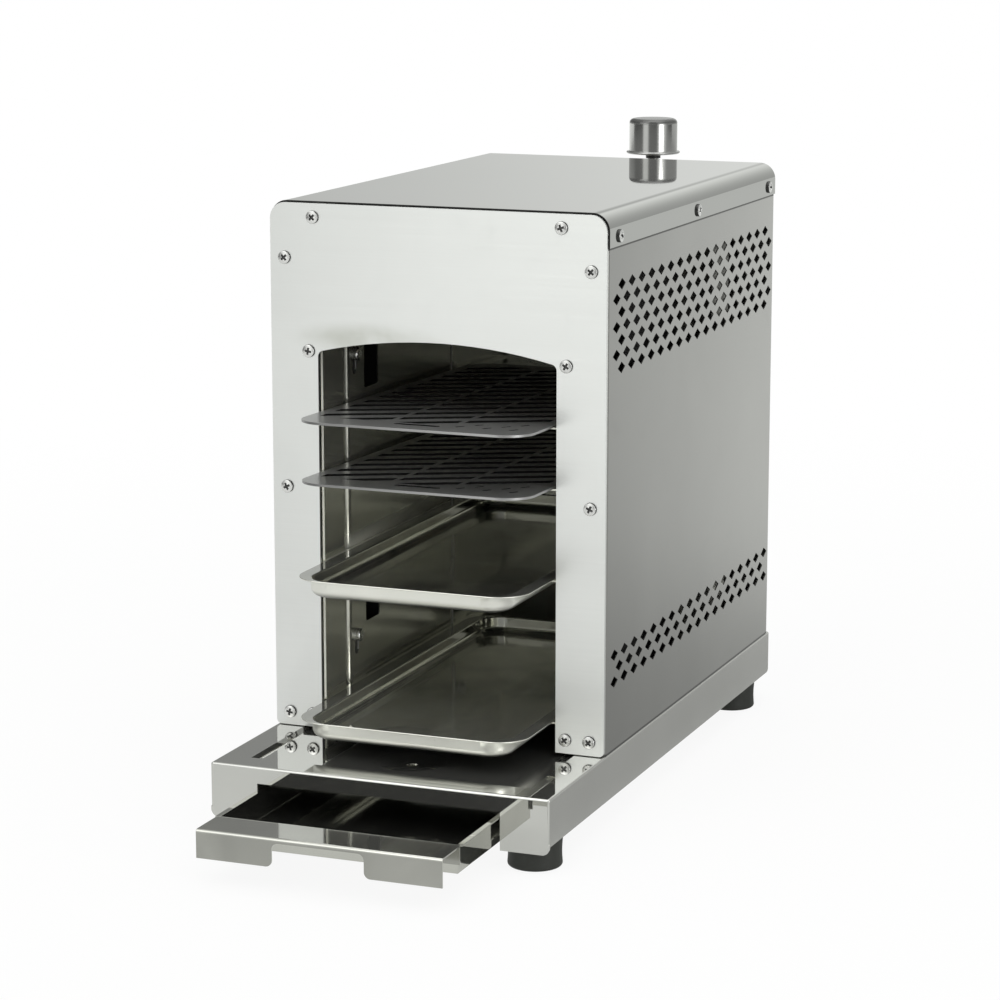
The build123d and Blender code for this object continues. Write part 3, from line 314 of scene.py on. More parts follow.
# Bright screw metal with fine wear
def screwSteel(name):
    def build(shader):
        wear = shader.noise(shader.place(), 900.0, 2.0)
        tone = shader.mix(wear, grey(0.78), grey(0.92))
        return shader.node("ShaderNodeBsdfPrincipled", {}, {
            "Base Color": tone, "Metallic": 1.0, "Roughness": 0.18 + 0.16 * wear}, "BSDF")
    return newMaterial(name, build)


# Spun metal of the knob: rings around its axis, and a crown that is less metallic and darkened with
# painted shade
def spunMetal(name, level, crownFoot, crownTone):
    def build(shader):
        rings = shader.noise(shader.place((30, 30, 2600)), 1.0, 2.0)
        patch = shader.noise(shader.place(), 60.0, 3.0)
        tone = shader.mix(0.5 * rings + 0.5 * patch, grey(level * 0.85), grey(level * 1.15))
        crown = shader.step(shader.axis("Z"), crownFoot - 0.001, crownFoot + 0.001)
        tone = shader.scaled(tone, 1.0 + (crownTone - 1.0) * crown)
        normal = shader.bump(rings, 0.000003)
        return shader.node("ShaderNodeBsdfPrincipled", {}, {
            "Base Color": tone, "Metallic": 1.0 - 0.4 * crown, "Roughness": 0.12 + 0.08 * rings,
            "Normal": normal}, "BSDF")
    return newMaterial(name, build)


# Moulded rubber or plastic: a dull skin with a fine pebble and a little dust
def moulded(name, colour, rough, pebble):
    def build(shader):
        grain = shader.noise(shader.place(), 1500.0, 2.0)
        dust = shader.step(shader.noise(shader.place(), 90.0, 4.0, 0.6), 0.5, 0.75)
        pale = tuple(min(1.0, part * 1.8 + 0.01) for part in colour[:3]) + (1.0,)
        tone = shader.mix(0.5 * dust, colour, pale)
        return shader.node("ShaderNodeBsdfPrincipled", {}, {
            "Base Color": tone, "Roughness": rough + 0.12 * dust,
            "Normal": shader.bump(grain, pebble)}, "BSDF")
    return newMaterial(name, build)


# Porous burner ceramic with its rows of flame holes on the underside: the holes are a bump with dark
# dots of painted shade
def burnerCeramic(name):
    def build(shader):
        pitch = 0.0026
        holes = shader.node("ShaderNodeTexVoronoi", {"feature": "F1"}, {
            "Vector": shader.place(), "Scale": 1.0 / pitch, "Randomness": 0.0}, "Distance")
        bore = 1.0 - shader.step(holes, 0.16, 0.26)
        scorch = shader.noise(shader.place(), 26.0, 4.0, 0.6)
        clay = shader.mix(scorch, (0.62, 0.52, 0.42, 1), (0.86, 0.80, 0.70, 1))
        tone = shader.mix(bore, clay, (0.05, 0.035, 0.025, 1))
        return shader.node("ShaderNodeBsdfPrincipled", {}, {
            "Base Color": tone, "Roughness": 0.9,
            "Normal": shader.bump(1.0 - bore, 0.0006)}, "BSDF")
    return newMaterial(name, build)


# Plain metal of one tone with fine unevenness, for screw rims, recesses and cut edges
def plainMetal(name, level, rough, metal=1.0):
    def build(shader):
        wear = shader.noise(shader.place(), 700.0, 3.0)
        return shader.node("ShaderNodeBsdfPrincipled", {}, {
            "Base Color": shader.mix(wear, grey(level * 0.8), grey(level * 1.2)),
            "Metallic": metal, "Roughness": rough + 0.1 * wear}, "BSDF")
    return newMaterial(name, build)


def castMetal(name, colour, rough):
    def build(shader):
        cast = shader.noise(shader.place(), 420.0, 4.0, 0.7)
        age = shader.noise(shader.place(), 70.0, 3.0)
        deep = tuple(part * 0.7 for part in colour[:3]) + (1.0,)
        return shader.node("ShaderNodeBsdfPrincipled", {}, {
            "Base Color": shader.mix(age, deep, colour), "Metallic": 1.0,
            "Roughness": rough + 0.15 * cast, "Normal": shader.bump(cast, 0.00004)}, "BSDF")
    return newMaterial(name, build)


frontSteel = sheetSteel("frontSteel", frontFinish)
sideSteel = sheetSteel("sideSteel", sideFinish)
hoodSteel = sheetSteel("hoodSteel", hoodFinish)
baseSteel = sheetSteel("baseSteel", baseFinish)
chamberSteel = sheetSteel("chamberSteel", chamberFinish)
burnerSteel = sheetSteel("burnerSteel", burnerFinish)
rackSteel = sheetSteel("rackSteel", rackFinish)
traySteel = sheetSteel("traySteel", trayFinish)
# The trays' rim tops take a darker, less metallic copy of the tray steel: painted shade.
trayRimShade = sheetSteel("trayRimShade", dict(trayFinish, level=0.30, metal=0.75))
drawerSteel = sheetSteel("drawerSteel", drawerFinish)
screwMetal = screwSteel("screwMetal")
# Dark metal for the screws' crosses and the rim and seat rows of their heads: painted shade.
crossRecessShade = plainMetal("crossRecessShade", 0.11, 0.45)
headRimShade = plainMetal("headRimShade", 0.10, 0.40)
# Near black for the hood's front edge: painted shade.
cutEdgeShade = plainMetal("cutEdgeShade", 0.05, 0.50)
# Near black for the walls of the rack slots: painted shade.
slotWallShade = plainMetal("slotWallShade", 0.012, 0.60)
edgeMetal = plainMetal("edgeMetal", 0.80, 0.42, 0.7)
# The racks' outer edges take a lighter copy of the rack steel that grows lighter still to the right: a
# painted highlight.
rackEdgeHighlight = sheetSteel("rackEdgeHighlight", dict(rackFinish, level=0.34, metal=0.80, lift=("X", 5.0)))
shadedMetal = plainMetal("shadedMetal", 0.05, 0.55)
postSteel = sheetSteel("postSteel", postFinish)
lipSteel = sheetSteel("lipSteel", lipFinish)
gripSteel = sheetSteel("gripSteel", gripFinish)
knobMetal = spunMetal("knobMetal", 0.42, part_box("knob_cap")[1].z - 0.003, 0.28)
footRubber = moulded("footRubber", (0.022, 0.024, 0.020, 1), 0.55, 0.00003)
blackPlastic = moulded("blackPlastic", (0.02, 0.02, 0.02, 1), 0.42, 0.00001)
leadSleeve = moulded("leadSleeve", (0.03, 0.03, 0.03, 1), 0.5, 0.00002)
tileCeramic = burnerCeramic("tileCeramic")
valveMetal = castMetal("valveMetal", (0.62, 0.61, 0.58, 1), 0.42)
brassMetal = castMetal("brassMetal", (0.72, 0.53, 0.24, 1), 0.28)
probeMetal = castMetal("probeMetal", (0.50, 0.46, 0.40, 1), 0.35)
print("finishes made:", len(bpy.data.materials))


# CAD pieces that keep their shape: a merged copy with smooth bends and broken edges

finishOfSlot = {
    "front_steel": frontSteel, "side_steel": sideSteel, "hood_steel": hoodSteel,
    "base_steel": baseSteel, "chamber_steel": chamberSteel, "burner_steel": burnerSteel,
    "ceramic": tileCeramic, "rack_steel": rackSteel, "tray_steel": traySteel,
    "drawer_steel": drawerSteel, "screw_steel": screwMetal, "rubber": footRubber,
    "valve_metal": valveMetal, "brass": brassMetal, "knob_chrome": knobMetal,
    "knob_core": blackPlastic, "black_plastic": blackPlastic, "probe_steel": probeMetal,
    "lead_cover": leadSleeve,
}
slotOfNode = {entry["node"]: entry["material_slot"] for entry in frame["record"]["subparts"]}
bodyOfNode = {node: body for body, group in frame["record"]["behaviour"]["bodies"].items()
              for node in group}


def newPiece(name, data, node, material=None):
    piece = bpy.data.objects.new(name, data)
    bpy.context.scene.collection.objects.link(piece)
    data.materials.append(material or finishOfSlot[slotOfNode[node]])
    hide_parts(node)
    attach(piece, bodyOfNode[node])
    return piece


# A face's width: its area over its longest edge
def faceWidth(face):
    return face.calc_area() / max(rim.calc_length() for rim in face.edges)


# Edges sharper than the limit stay crisp. Bends are shaded smooth. Wide faces and level tops stay
# flat, so that what they mirror stays straight.
def creaseMesh(mesh, limit=32, widest=0.004):
    for face in mesh.faces:
        face.smooth = faceWidth(face) < widest and face.normal.z < 0.9999
    for rim in mesh.edges:
        rim.smooth = rim.calc_face_angle(0.0) < math.radians(limit)


# Narrow faces between two sharp edges: where the sheet was cut
def cutFaces(mesh, thickest=0.0017):
    found = []
    for face in mesh.faces:
        sharp = sum(rim.calc_length() for rim in face.edges if not rim.smooth)
        around = sum(rim.calc_length() for rim in face.edges)
        if faceWidth(face) < thickest and sharp > 0.8 * around:
            found.append(face)
    return found


# The band of upright faces around a flat piece's outline, from its foremost face on
def outlineFaces(mesh):
    upright = {face for face in mesh.faces if abs(face.normal.z) < 0.5}
    heap = [min(upright, key=lambda face: face.calc_center_median().y)]
    found = set(heap)
    while heap:
        for rim in heap.pop().edges:
            for face in rim.link_faces:
                if face in upright and face not in found:
                    found.add(face)
                    heap.append(face)
    return found, upright - found


def mergedMesh(node):
    mesh = bmesh.new()
    mesh.from_mesh(nodes[node].data)
    bmesh.ops.remove_doubles(mesh, verts=mesh.verts, dist=1e-6)
    bmesh.ops.dissolve_limit(mesh, angle_limit=math.radians(0.5), verts=mesh.verts, edges=mesh.edges)
    return mesh


# A merged copy of a node. extras gives the second and further materials, each with the function
# that picks its faces.
def dressNode(node, edge, extras):
    mesh = mergedMesh(node)
    creaseMesh(mesh)
    for number, (pick, material) in enumerate(extras, start=1):
        for face in pick(mesh):
            face.material_index = number
    data = bpy.data.meshes.new(node + "Skin")
    mesh.to_mesh(data)
    mesh.free()
    skin = newPiece(node + "Skin", data, node, postSteel if node.startswith("front_post") else None)
    for pick, material in extras:
        data.materials.append(material)
    if edge:
        broken = skin.modifiers.new("brokenEdges", "BEVEL")
        broken.width = edge
        broken.segments = 2
        broken.limit_method = "ANGLE"
        broken.angle_limit = math.radians(50)


# Faces that look along an axis
def facing(axis):
    return lambda mesh: [face for face in mesh.faces if face.normal.dot(Vector(axis)) > 0.9]


# A closed surface from rings: row after row of points around the piece, capped at both ends
def ringSurface(name, rings, capped=True):
    rows, columns = rings.shape[:2]
    index = np.arange(rows * columns).reshape(rows, columns)
    beside = np.roll(index, -1, axis=1)
    quads = np.stack([index[:-1], beside[:-1], beside[1:], index[1:]], axis=-1).reshape(-1, 4)
    faces = quads.tolist()
    if capped:
        faces += [index[0, ::-1].tolist(), index[-1].tolist()]
    data = bpy.data.meshes.new(name)
    data.from_pydata(rings.reshape(-1, 3).tolist(), [], faces)
    return data


# Merges the seams and poles of a new surface and turns its faces outwards
def closeSurface(data, limit):
    mesh = bmesh.new()
    mesh.from_mesh(data)
    bmesh.ops.remove_doubles(mesh, verts=mesh.verts, dist=1e-6)
    bmesh.ops.recalc_face_normals(mesh, faces=mesh.faces)
    creaseMesh(mesh, limit)
    mesh.to_mesh(data)
    mesh.free()
    data.update()


# Points of an arc in a profile, from one angle to the other, in degrees
def arc(centre, radius, start, end, count):
    angles = np.radians(np.linspace(start, end, count))
    return np.stack([centre[0] + radius * np.cos(angles), centre[1] + radius * np.sin(angles)], 1)


# Boxes of the separate solids of a CAD node
def solidBoxes(node):
    mesh = bmesh.new()
    mesh.from_mesh(nodes[node].data)
    bmesh.ops.remove_doubles(mesh, verts=mesh.verts, dist=1e-6)
    boxes = []
    left = set(mesh.verts)
    while left:
        heap = [left.pop()]
        solid = []
        while heap:
            vert = heap.pop()
            solid.append(vert.co[:])
            for link in vert.link_edges:
                other = link.other_vert(vert)
                if other in left:
                    left.remove(other)
                    heap.append(other)
        points = np.array(solid)
        boxes.append((points.min(axis=0), points.max(axis=0)))
    mesh.free()
    return sorted(boxes, key=lambda box: tuple(np.round(box[0], 3)))


# Pan-head screws. A lathe surface: the radius and the height run along a profile from the top of
# the head over its rim and down the shank, and the cross is pressed in where a point is nearer
# than half a slot's width to either arm and within the arm's length.
screw = {
    "headRadius": 0.0040, "headHeight": 0.0018, "crown": 0.00050, "rounding": 0.00055,
    "shankRadius": 0.0020, "armLength": 0.0044, "armWidth": 0.00115, "crossDepth": 0.0011,
    "wall": 0.00016, "columns": 64, "crownPoints": 22, "rimPoints": 5, "darkRows": 4, "turnStep": 37.0,
    "panelTurns": (12, 65, 48, 40, 10, 45, 70, 50, 30, 45, 25, 40),
}


def screwProfile(length):
    radius, height = screw["headRadius"], screw["headHeight"]
    soft = screw["rounding"]
    across = np.linspace(0, radius - soft, screw["crownPoints"])
    crown = height - screw["crown"] * (across / radius) ** 2
    rimTop = crown[-1] - soft
    rim = arc((radius - soft, rimTop), soft, 84, 0, screw["rimPoints"])
    rest = np.array([(radius, 0.0), (screw["shankRadius"], 0.0),
                     (screw["shankRadius"], -length + 0.0005),
                     (screw["shankRadius"] - 0.0006, -length), (0.0, -length)])
    return np.concatenate([np.stack([across, crown], 1), rim, rest])


def screwRings(length, turn):
    profile = screwProfile(length)
    angles = np.linspace(0, 2 * np.pi, screw["columns"], endpoint=False)
    x = profile[:, :1] * np.cos(angles)
    y = profile[:, :1] * np.sin(angles)
    z = np.repeat(profile[:, 1:], len(angles), axis=1)
    turned = angles + np.radians(turn)
    u, v = np.abs(profile[:, :1] * np.cos(turned)), np.abs(profile[:, :1] * np.sin(turned))
    half, reach = screw["armWidth"] / 2, screw["armLength"] / 2
    nearest = np.minimum(np.maximum(u - reach, v - half), np.maximum(v - reach, u - half))
    mask = np.clip(0.5 - nearest / screw["wall"], 0, 1) * (z > 0)
    taper = 1.0 - 0.35 * np.maximum(u, v) / reach
    z = z - screw["crossDepth"] * mask * taper
    return np.stack([x, y, z], -1), mask


# One mesh for all screws of a node. The axis points out of the head, and on the hood, which has
# screws on both sides, it is turned over for the left side. The pressed cross and the rows around the
# rim and the seat of the head take darker metal: painted shade.
def makeScrews(node, axis, turns):
    out = np.array(axis, dtype=float)
    firstDark = screw["crownPoints"] + 2
    along = int(np.argmax(np.abs(out)))
    points, faces, marks, start = [], [], [], 0
    for number, (low, high) in enumerate(solidBoxes(node)):
        sign = out[along]
        if node == "hood_screws":
            sign = 1.0 if low[0] > 0 else -1.0
        length = (high - low)[along] - screw["headHeight"]
        turn = turns[number] if turns else (number * screw["turnStep"]) % 90
        rings, mask = screwRings(length, turn)
        head = np.zeros(3)
        head[along] = sign
        side = np.roll(head, 1) if sign > 0 else -np.roll(head, 1)
        third = np.cross(head, side)
        seat = (low + high) / 2
        seat[along] = (high if sign > 0 else low)[along] - sign * screw["headHeight"]
        placed = seat + rings[..., :1] * side + rings[..., 1:2] * third + rings[..., 2:] * head
        rows, columns = mask.shape
        index = np.arange(rows * columns).reshape(rows, columns) + start
        beside = np.roll(index, -1, axis=1)
        quads = np.stack([index[:-1], beside[:-1], beside[1:], index[1:]], -1)
        deep = (mask + np.roll(mask, -1, axis=1))[:-1] + (mask + np.roll(mask, -1, axis=1))[1:]
        mark = np.where(deep > 1.4, 1, 0)
        mark[firstDark:firstDark + screw["darkRows"]] = 2
        points.append(placed.reshape(-1, 3))
        faces.append(quads.reshape(-1, 4))
        marks.append(mark.reshape(-1))
        start += rows * columns
    data = bpy.data.meshes.new(node + "Turned")
    data.from_pydata(np.concatenate(points).tolist(), [], np.concatenate(faces).tolist())
    data.polygons.foreach_set("material_index", np.concatenate(marks).astype(np.int32))
    closeSurface(data, 38)
    newPiece(node + "Turned", data, node)
    data.materials.append(crossRecessShade)
    data.materials.append(headRimShade)


# Trays. Rings of a rounded oblong, whose half width, half length, corner radius and height run
# along the pan's profile: floor, floor bend, wall, rim bend, rim, and back under to the floor.
tray = {
    "sheet": 0.0008, "depth": 0.0110, "sideRim": 0.0088, "frontRim": 0.0009, "bodyCorner": 0.0165,
    "rimCorner": 0.0200, "floorBend": 0.0052, "rimBend": 0.0010, "cornerPoints": 14, "crown": 0.0006,
    "shade": 0.0026, "edge": 0.0003, "rimLap": 0.0004, "tightest": 0.0005,
    "floorRings": ((0.058, 1.0), (0.045, 0.9), (0.03, 0.55), (0.018, 0.2)),
}


def oblong(halfX, halfY, corner, count):
    angles = np.radians(np.linspace(0, 90, count))
    arms = np.stack([np.cos(angles), np.sin(angles)], 1) * corner
    quarter = arms + (halfX - corner, halfY - corner)
    second = (quarter * (-1, 1))[::-1]
    return np.concatenate([quarter, second, -quarter, -second])


def makeTray(node):
    low, high = (np.array(corner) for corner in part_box(node))
    middle = (low + high) / 2
    rimX, rimY = (high - low)[:2] / 2
    bodyX, bodyY = rimX - tray["sideRim"], rimY - tray["frontRim"]
    sheet, floorBend, rimBend, edge = (tray[name] for name in ("sheet", "floorBend", "rimBend", "edge"))
    top, bottom = high[2], high[2] - tray["depth"]
    rings = []

    def bodyRing(inset, z):
        ring = oblong(bodyX - inset, bodyY - inset, max(tray["bodyCorner"] - inset, tray["tightest"]),
                      tray["cornerPoints"])
        rings.append(np.column_stack([ring, np.full(len(ring), z)]))

    def rimRing(inset, z):
        ring = oblong(rimX - inset, rimY - inset, tray["rimCorner"] - inset, tray["cornerPoints"])
        rings.append(np.column_stack([ring, np.full(len(ring), z)]))

    floor = bottom + sheet
    for inset, rise in tray["floorRings"]:
        bodyRing(inset, floor + tray["crown"] * rise)
    inner = floorBend - sheet
    for point in arc((sheet + inner, floor + inner), inner, 270, 180, 8):
        bodyRing(point[0], point[1])
    for point in arc((sheet - rimBend, top - rimBend), rimBend, 0, 90, 6):
        bodyRing(point[0], point[1])
    bodyRing(-tray["rimLap"], top)
    rimRing(edge, top)
    rimRing(0.0, top - edge)
    rimRing(0.0, top - sheet + edge)
    rimRing(edge, top - sheet)
    bodyRing(-edge, top - sheet)
    bodyRing(0.0, top - sheet - edge)
    for point in arc((floorBend, bottom + floorBend), floorBend, 180, 270, 9):
        bodyRing(point[0], point[1])
    rings = np.array(rings)
    rings[..., :2] += middle[:2]
    data = ringSurface(node + "Drawn", rings)
    closeSurface(data, 50)
    newPiece(node + "Drawn", data, node)
    data.materials.append(trayRimShade)
    # The outside of the walls is darker towards the floor bend: painted shade.
    data.materials.append(sheetSteel(node + "Outside", dict(
        trayFinish, level=0.84, cloud=0.20, rough=0.30, metal=0.78,
        bands=[("Z", 0.0, bottom + tray["shade"], 0.0022, 0.25)])))
    # Material 1 goes on the rim's top, and 2 on the outside of the walls and the underside
    for face in data.polygons:
        outward = (face.normal.x * (face.center.x - middle[0])
                   + face.normal.y * (face.center.y - middle[1]))
        if face.normal.z > 0.98 and face.center.z > top - 0.0002:
            face.material_index = 1
        elif face.normal.z < 0.3 and (outward > 0 or face.normal.z < -0.5):
            face.material_index = 2


# A turned piece about an upright axis through the middle of its node's box
def makeTurned(node, profile, columns):
    low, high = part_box(node)
    middle = (low + high) / 2
    angles = np.linspace(0, 2 * np.pi, columns, endpoint=False)
    x = middle.x + profile[:, :1] * np.cos(angles)
    y = middle.y + profile[:, :1] * np.sin(angles)
    z = low.z + np.repeat(profile[:, 1:], columns, axis=1)
    data = ringSurface(node + "Turned", np.stack([x, y, z], -1), capped=False)
    closeSurface(data, 40)
    newPiece(node + "Turned", data, node)


# Knob cap: spun from sheet, with a rounded top edge and a small rolled rim
knob = {
    "radius": 0.0173, "rimRadius": 0.0193, "rimHeight": 0.0016, "height": 0.0251, "edge": 0.0035,
    "wall": 0.0010, "crown": 0.0003, "rimBend": 0.0006, "innerBend": 0.0002, "columns": 128,
}


def knobProfile():
    radius, top, edge, wall = knob["radius"], knob["height"], knob["edge"], knob["wall"]
    rim, rimHeight, bend = knob["rimRadius"], knob["rimHeight"], knob["rimBend"]
    half = rimHeight / 2
    outside = [
        np.array([(0.0, top), (radius * 0.5, top - knob["crown"] * 0.3)]),
        arc((radius - edge, top - edge - knob["crown"] * 0.5), edge, 86, 0, 12),
        arc((radius + bend, rimHeight + bend), bend, 180, 270, 5),
        arc((rim - half, half), half, 90, -90, 9),
        arc((radius - wall, wall), knob["innerBend"], 270, 180, 3),
        arc((radius - edge, top - edge - knob["crown"] * 0.5), edge - wall, 0, 86, 8),
        np.array([(0.0, top - wall)]),
    ]
    return np.concatenate(outside)


# Rubber foot: a short post with a soft lower edge, a faint waist and a pocket for its screw
rubberFoot = {
    "radius": 0.0165, "height": 0.0174, "edge": 0.0020, "shoulder": 0.0006, "pocket": 0.0050,
    "bore": 0.00215, "waist": 0.0004, "waistPoints": 7, "waistTop": 0.0010, "columns": 72,
}


def footProfile():
    radius, height, edge = rubberFoot["radius"], rubberFoot["height"], rubberFoot["edge"]
    shoulder = rubberFoot["shoulder"]
    up = np.linspace(0, 1, rubberFoot["waistPoints"] + 2)[1:-1]
    waist = np.stack([radius - rubberFoot["waist"] * np.sin(np.pi * up),
                      edge + (height - edge - rubberFoot["waistTop"]) * up], 1)
    return np.concatenate([
        np.array([(rubberFoot["bore"], height / 2), (rubberFoot["pocket"], height / 2),
                  (rubberFoot["pocket"], 0.0)]),
        arc((radius - edge, edge), edge, 270, 360, 7),
        waist,
        arc((radius - shoulder, height - shoulder), shoulder, 0, 90, 4),
        np.array([(rubberFoot["bore"], height), (rubberFoot["bore"], height / 2)]),
    ])


for node in sorted(nodes):
    nodes[node].data.materials.clear()
    nodes[node].data.materials.append(finishOfSlot[slotOfNode[node]])

screwAxis = {
    "front_panel_screws": (0, -1, 0), "hood_screws": (1, 0, 0), "rear_screws": (0, 1, 0),
    "bracket_screws": (0, 1, 0), "foot_screws": (0, 0, -1), "base_screws": (0, 0, -1),
}
for node, axis in screwAxis.items():
    makeScrews(node, axis, screw["panelTurns"] if node == "front_panel_screws" else None)
print("screws made")
makeTray("upper_tray")
makeTray("lower_tray")
makeTurned("knob_cap", knobProfile(), knob["columns"])
for node in sorted(nodes):
    if node.startswith("foot_") and node != "foot_screws":
        makeTurned(node, footProfile(), rubberFoot["columns"])
made = set(screwAxis) | {"upper_tray", "lower_tray", "knob_cap"}
made |= {node for node in nodes if node.startswith("foot_")}
print("trays, knob and feet made")

# How each carried-over piece has its edges broken, in metres, where that shows
edgeOfNode = {
    "front_panel": 0.00022, "base_shell": 0.00014, "drawer_handle": 0.00018, "drip_drawer": 0.00014,
    "upper_rack": 0.00030, "lower_rack": 0.00030, "front_post_left": 0.00018,
    "front_post_right": 0.00018, "wall_strips_left": 0.00015, "wall_strips_right": 0.00015,
    "valve_bracket": 0.00030, "piezo_box": 0.00060,
}


# Faces of the solids in the front half of a node
def foremost(mesh):
    depths = [vert.co.y for vert in mesh.verts]
    middle = (min(depths) + max(depths)) / 2
    return [face for face in mesh.faces if face.calc_center_median().y < middle]


# Faces with a finish of their own: cut edges, slot walls, and sheet sides that look into a shut gap.
# The hood's front edge, the slot walls, the wall sides and the stays' front solids are dark with
# painted shade, the racks' outer edges carry a painted highlight, and the handle's lip and top are
# darker copies, painted shade.
extrasOfNode = {
    "hood": [(facing((0, -1, 0)), cutEdgeShade)],
    "front_panel": [(cutFaces, edgeMetal)],
    "upper_rack": [(lambda mesh: outlineFaces(mesh)[1], slotWallShade),
                   (lambda mesh: outlineFaces(mesh)[0], rackEdgeHighlight)],
    "inner_wall_right": [(facing((1, 0, 0)), shadedMetal)],
    "inner_wall_left": [(facing((-1, 0, 0)), shadedMetal)],
    "wall_stays_right": [(foremost, shadedMetal)],
    "wall_stays_left": [(foremost, shadedMetal)],
    "drawer_handle": [(facing((0, -1, 0)), lipSteel), (facing((0, 0, 1)), gripSteel)],
}
extrasOfNode["lower_rack"] = extrasOfNode["upper_rack"]
for node in ("front_post_left", "front_post_right", "wall_strips_left", "wall_strips_right"):
    extrasOfNode[node] = [(cutFaces, edgeMetal)]
for node in sorted(set(nodes) - made):
    dressNode(node, edgeOfNode.get(node, 0.0), extrasOfNode.get(node, ()))
print("pieces dressed:", len(nodes))


# Floor, world and lights

studio = {
    "floorSize": 80.0,
    "floorTone": 0.86,
    "floorShadow": 0.10,
    "frontNear": 0.76, "frontMiddle": 0.71, "frontFar": 1.19,
    "nearReach": (0.20, 0.60), "farReach": (1.0, 1.7), "boardReach": (1.35, 1.85),
    "sideNear": 0.34, "sideMiddle": 0.58, "sideRear": 0.16, "sideReach": (0.25, 0.9),
    "sideFrom": (0.04, 0.15), "sideBehind": (-0.36, -0.12), "rearFrom": (0.10, 1.2),
    "shadowReach": (0.5, 1.4),
    "behindLeft": 0.50, "behindMiddle": 0.34, "behindRight": 0.36, "lowShade": 0.48, "ceiling": 0.50,
    "boards": ((-36, -26, -10, 0, 1.12), (34, 50, 66, 100, 1.25)), "floorGap": 0.12, "wallGap": 0.28,
    "tint": (0.985, 1.0, 0.975, 1.0),
    "keyPlace": (-1.5, -1.9, 2.3), "keySize": 2.4, "keyPower": 14.0,
    "fillPlace": (2.0, -1.0, 0.55), "fillSize": 0.9, "fillPower": 6.0,
    "topPlace": (0.0, 0.3, 2.6), "topSize": 2.4, "topPower": 14.0,
}


# Two pale boards in front, with dark between them: by angle from straight ahead, in degrees
def farBoards(shader, x, y, gap):
    angle = shader.node("ShaderNodeMath", {"operation": "ARCTAN2"}, {0: x, 1: 0.0 - y})
    angle = angle * (180 / math.pi)
    tone = gap
    for start, full, fall, end, level in studio["boards"]:
        board = shader.step(angle, start, full) * (1.0 - shader.step(angle, fall, end))
        tone = tone + (level - gap) * board
    return tone


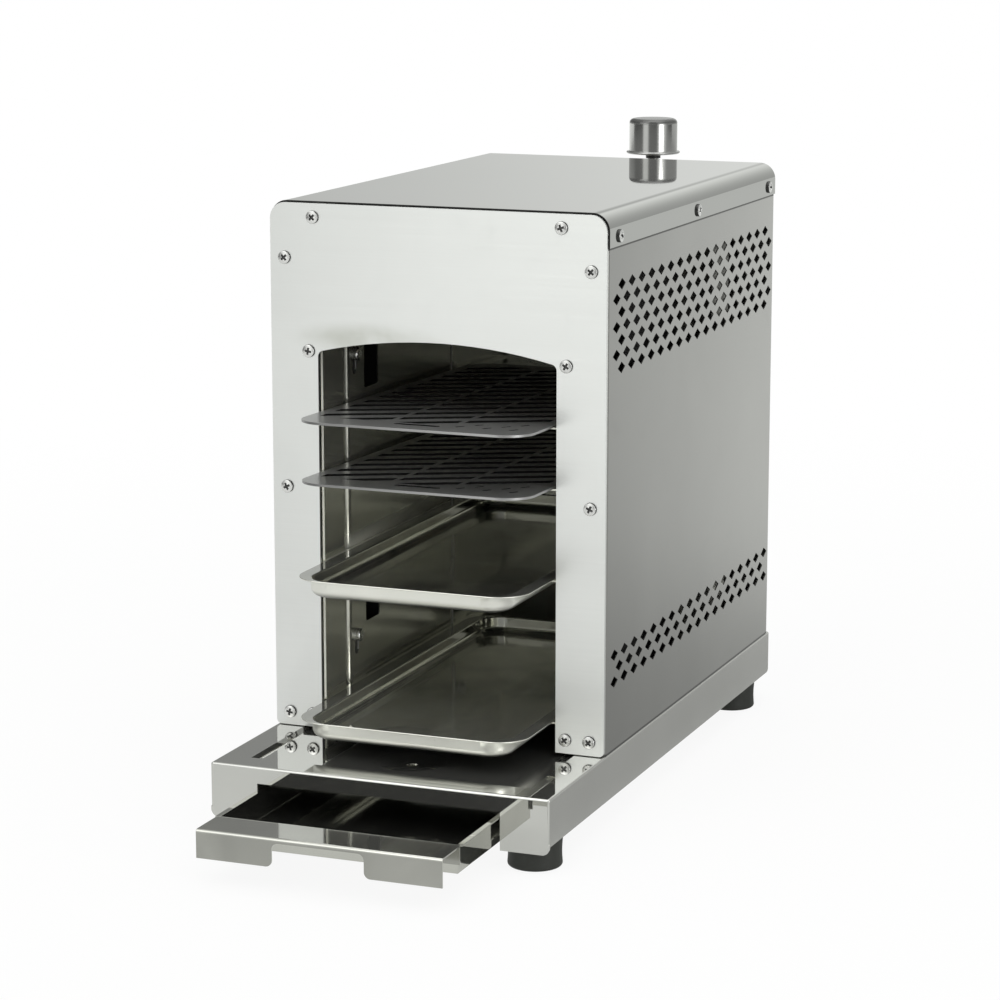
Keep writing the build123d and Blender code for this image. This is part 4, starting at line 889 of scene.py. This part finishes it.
def makeFloor():
    half = studio["floorSize"] / 2
    corners = [(-half, -half, 0), (half, -half, 0), (half, half, 0), (-half, half, 0)]
    data = bpy.data.meshes.new("floor")
    data.from_pydata(corners, [], [(0, 1, 2, 3)])
    floor = bpy.data.objects.new("floor", data)
    bpy.context.scene.collection.objects.link(floor)

    # What mirrors see of the floor: a tone by the distance in front, another to the right, and far
    # out, in front and beside but not behind, the boards. The camera sees it white.
    def build(shader):
        path = {name: shader.node("ShaderNodeLightPath", {}, {}, name)
                for name in ("Is Camera Ray", "Is Glossy Ray", "Is Transmission Ray")}
        seen = path["Is Camera Ray"] + path["Is Glossy Ray"] + path["Is Transmission Ray"]
        place = shader.place()
        x, y = shader.axis("X"), shader.axis("Y")
        reach = (x * x + y * y) ** 0.5
        front = (studio["frontNear"]
                 + (studio["frontMiddle"] - studio["frontNear"]) * shader.step(reach, *studio["nearReach"])
                 + (studio["frontFar"] - studio["frontMiddle"]) * shader.step(reach, *studio["farReach"]))
        side = (studio["sideNear"]
                + (studio["sideMiddle"] - studio["sideNear"]) * shader.step(reach, *studio["sideReach"])
                + studio["sideRear"] * shader.step(y, *studio["rearFrom"]))
        toSide = shader.step(x, *studio["sideFrom"]) * shader.step(y, *studio["sideBehind"])
        tone = front + toSide * (side - front)
        beside = shader.step(x * x, 1.0, 2.0) * (1.0 - shader.step(y - 0.5 * x, 0.3, 0.8))
        around = 1.0 - (1.0 - shader.step(0.0 - y, 0.0, 0.6)) * (1.0 - beside)
        tone = tone + shader.step(reach, *studio["boardReach"]) * around * (
            farBoards(shader, x, y, studio["floorGap"]) - tone)
        camera = path["Is Camera Ray"]
        tone = camera + (1.0 - camera) * tone
        keep = studio["floorShadow"] * (1.0 - shader.step(reach, *studio["shadowReach"]))
        speckle = shader.noise(place, 40.0, 3.0)
        paper = shader.mix(speckle, grey(studio["floorTone"] - 0.01, (1, 1, 1)),
                           grey(studio["floorTone"] + 0.01, (1, 1, 1)))
        matt = shader.node("ShaderNodeBsdfDiffuse", {}, {"Color": paper}, "BSDF")
        glow = shader.mix(camera, studio["tint"], (1, 1, 1, 1))
        white = shader.node("ShaderNodeEmission", {}, {"Color": glow, "Strength": tone}, "Emission")
        return shader.node("ShaderNodeMixShader", {}, {0: seen * (1.0 - keep), 1: matt, 2: white})

    data.materials.append(newMaterial("floorPaper", build))


def makeWorld():
    world = bpy.data.worlds.new("studio")
    bpy.context.scene.world = world
    world.use_nodes = True
    shader = Shader(world.node_tree)
    direction = shader.node("ShaderNodeTexCoord", {}, {}, "Generated")
    side, depth, height = (shader.node("ShaderNodeSeparateXYZ", {}, {"Vector": direction}, letter)
                           for letter in "XYZ")
    camera = shader.node("ShaderNodeLightPath", {}, {}, "Is Camera Ray")
    behind = (studio["behindLeft"] + studio["behindMiddle"] * shader.step(side, -0.50, -0.20)
              - studio["behindRight"] * shader.step(side, -0.2, 0.4))
    shade = shader.step(height, 0.10, 0.27) * (1.0 - shader.step(side, -0.26, -0.12))
    low = behind * (1.0 - studio["lowShade"] * shade)
    low = low + (1.0 - shader.step(depth, -0.35, 0.05)) * (
        farBoards(shader, side, depth, studio["wallGap"]) - low)
    room = low + studio["ceiling"] * shader.step(height, 0.40, 0.9)
    level = camera + (1.0 - camera) * room
    background = shader.node("ShaderNodeBackground", {}, {
        "Color": shader.mix(camera, studio["tint"], (1, 1, 1, 1)), "Strength": level}, "Background")
    shader.node("ShaderNodeOutputWorld", {}, {"Surface": background})


def makeLight(name, place, size, power):
    data = bpy.data.lights.new(name, "AREA")
    data.shape = "DISK"
    data.size = size
    data.energy = power
    lamp = bpy.data.objects.new(name, data)
    lamp.location = place
    aim = Vector((0, 0, 0.2)) - Vector(place)
    lamp.rotation_euler = aim.to_track_quat("-Z", "Y").to_euler()
    bpy.context.scene.collection.objects.link(lamp)


makeFloor()
makeWorld()
for light in ("key", "fill", "top"):
    makeLight(light, studio[light + "Place"], studio[light + "Size"], studio[light + "Power"])
bpy.context.scene.view_settings.view_transform = "Standard"
print("studio set")
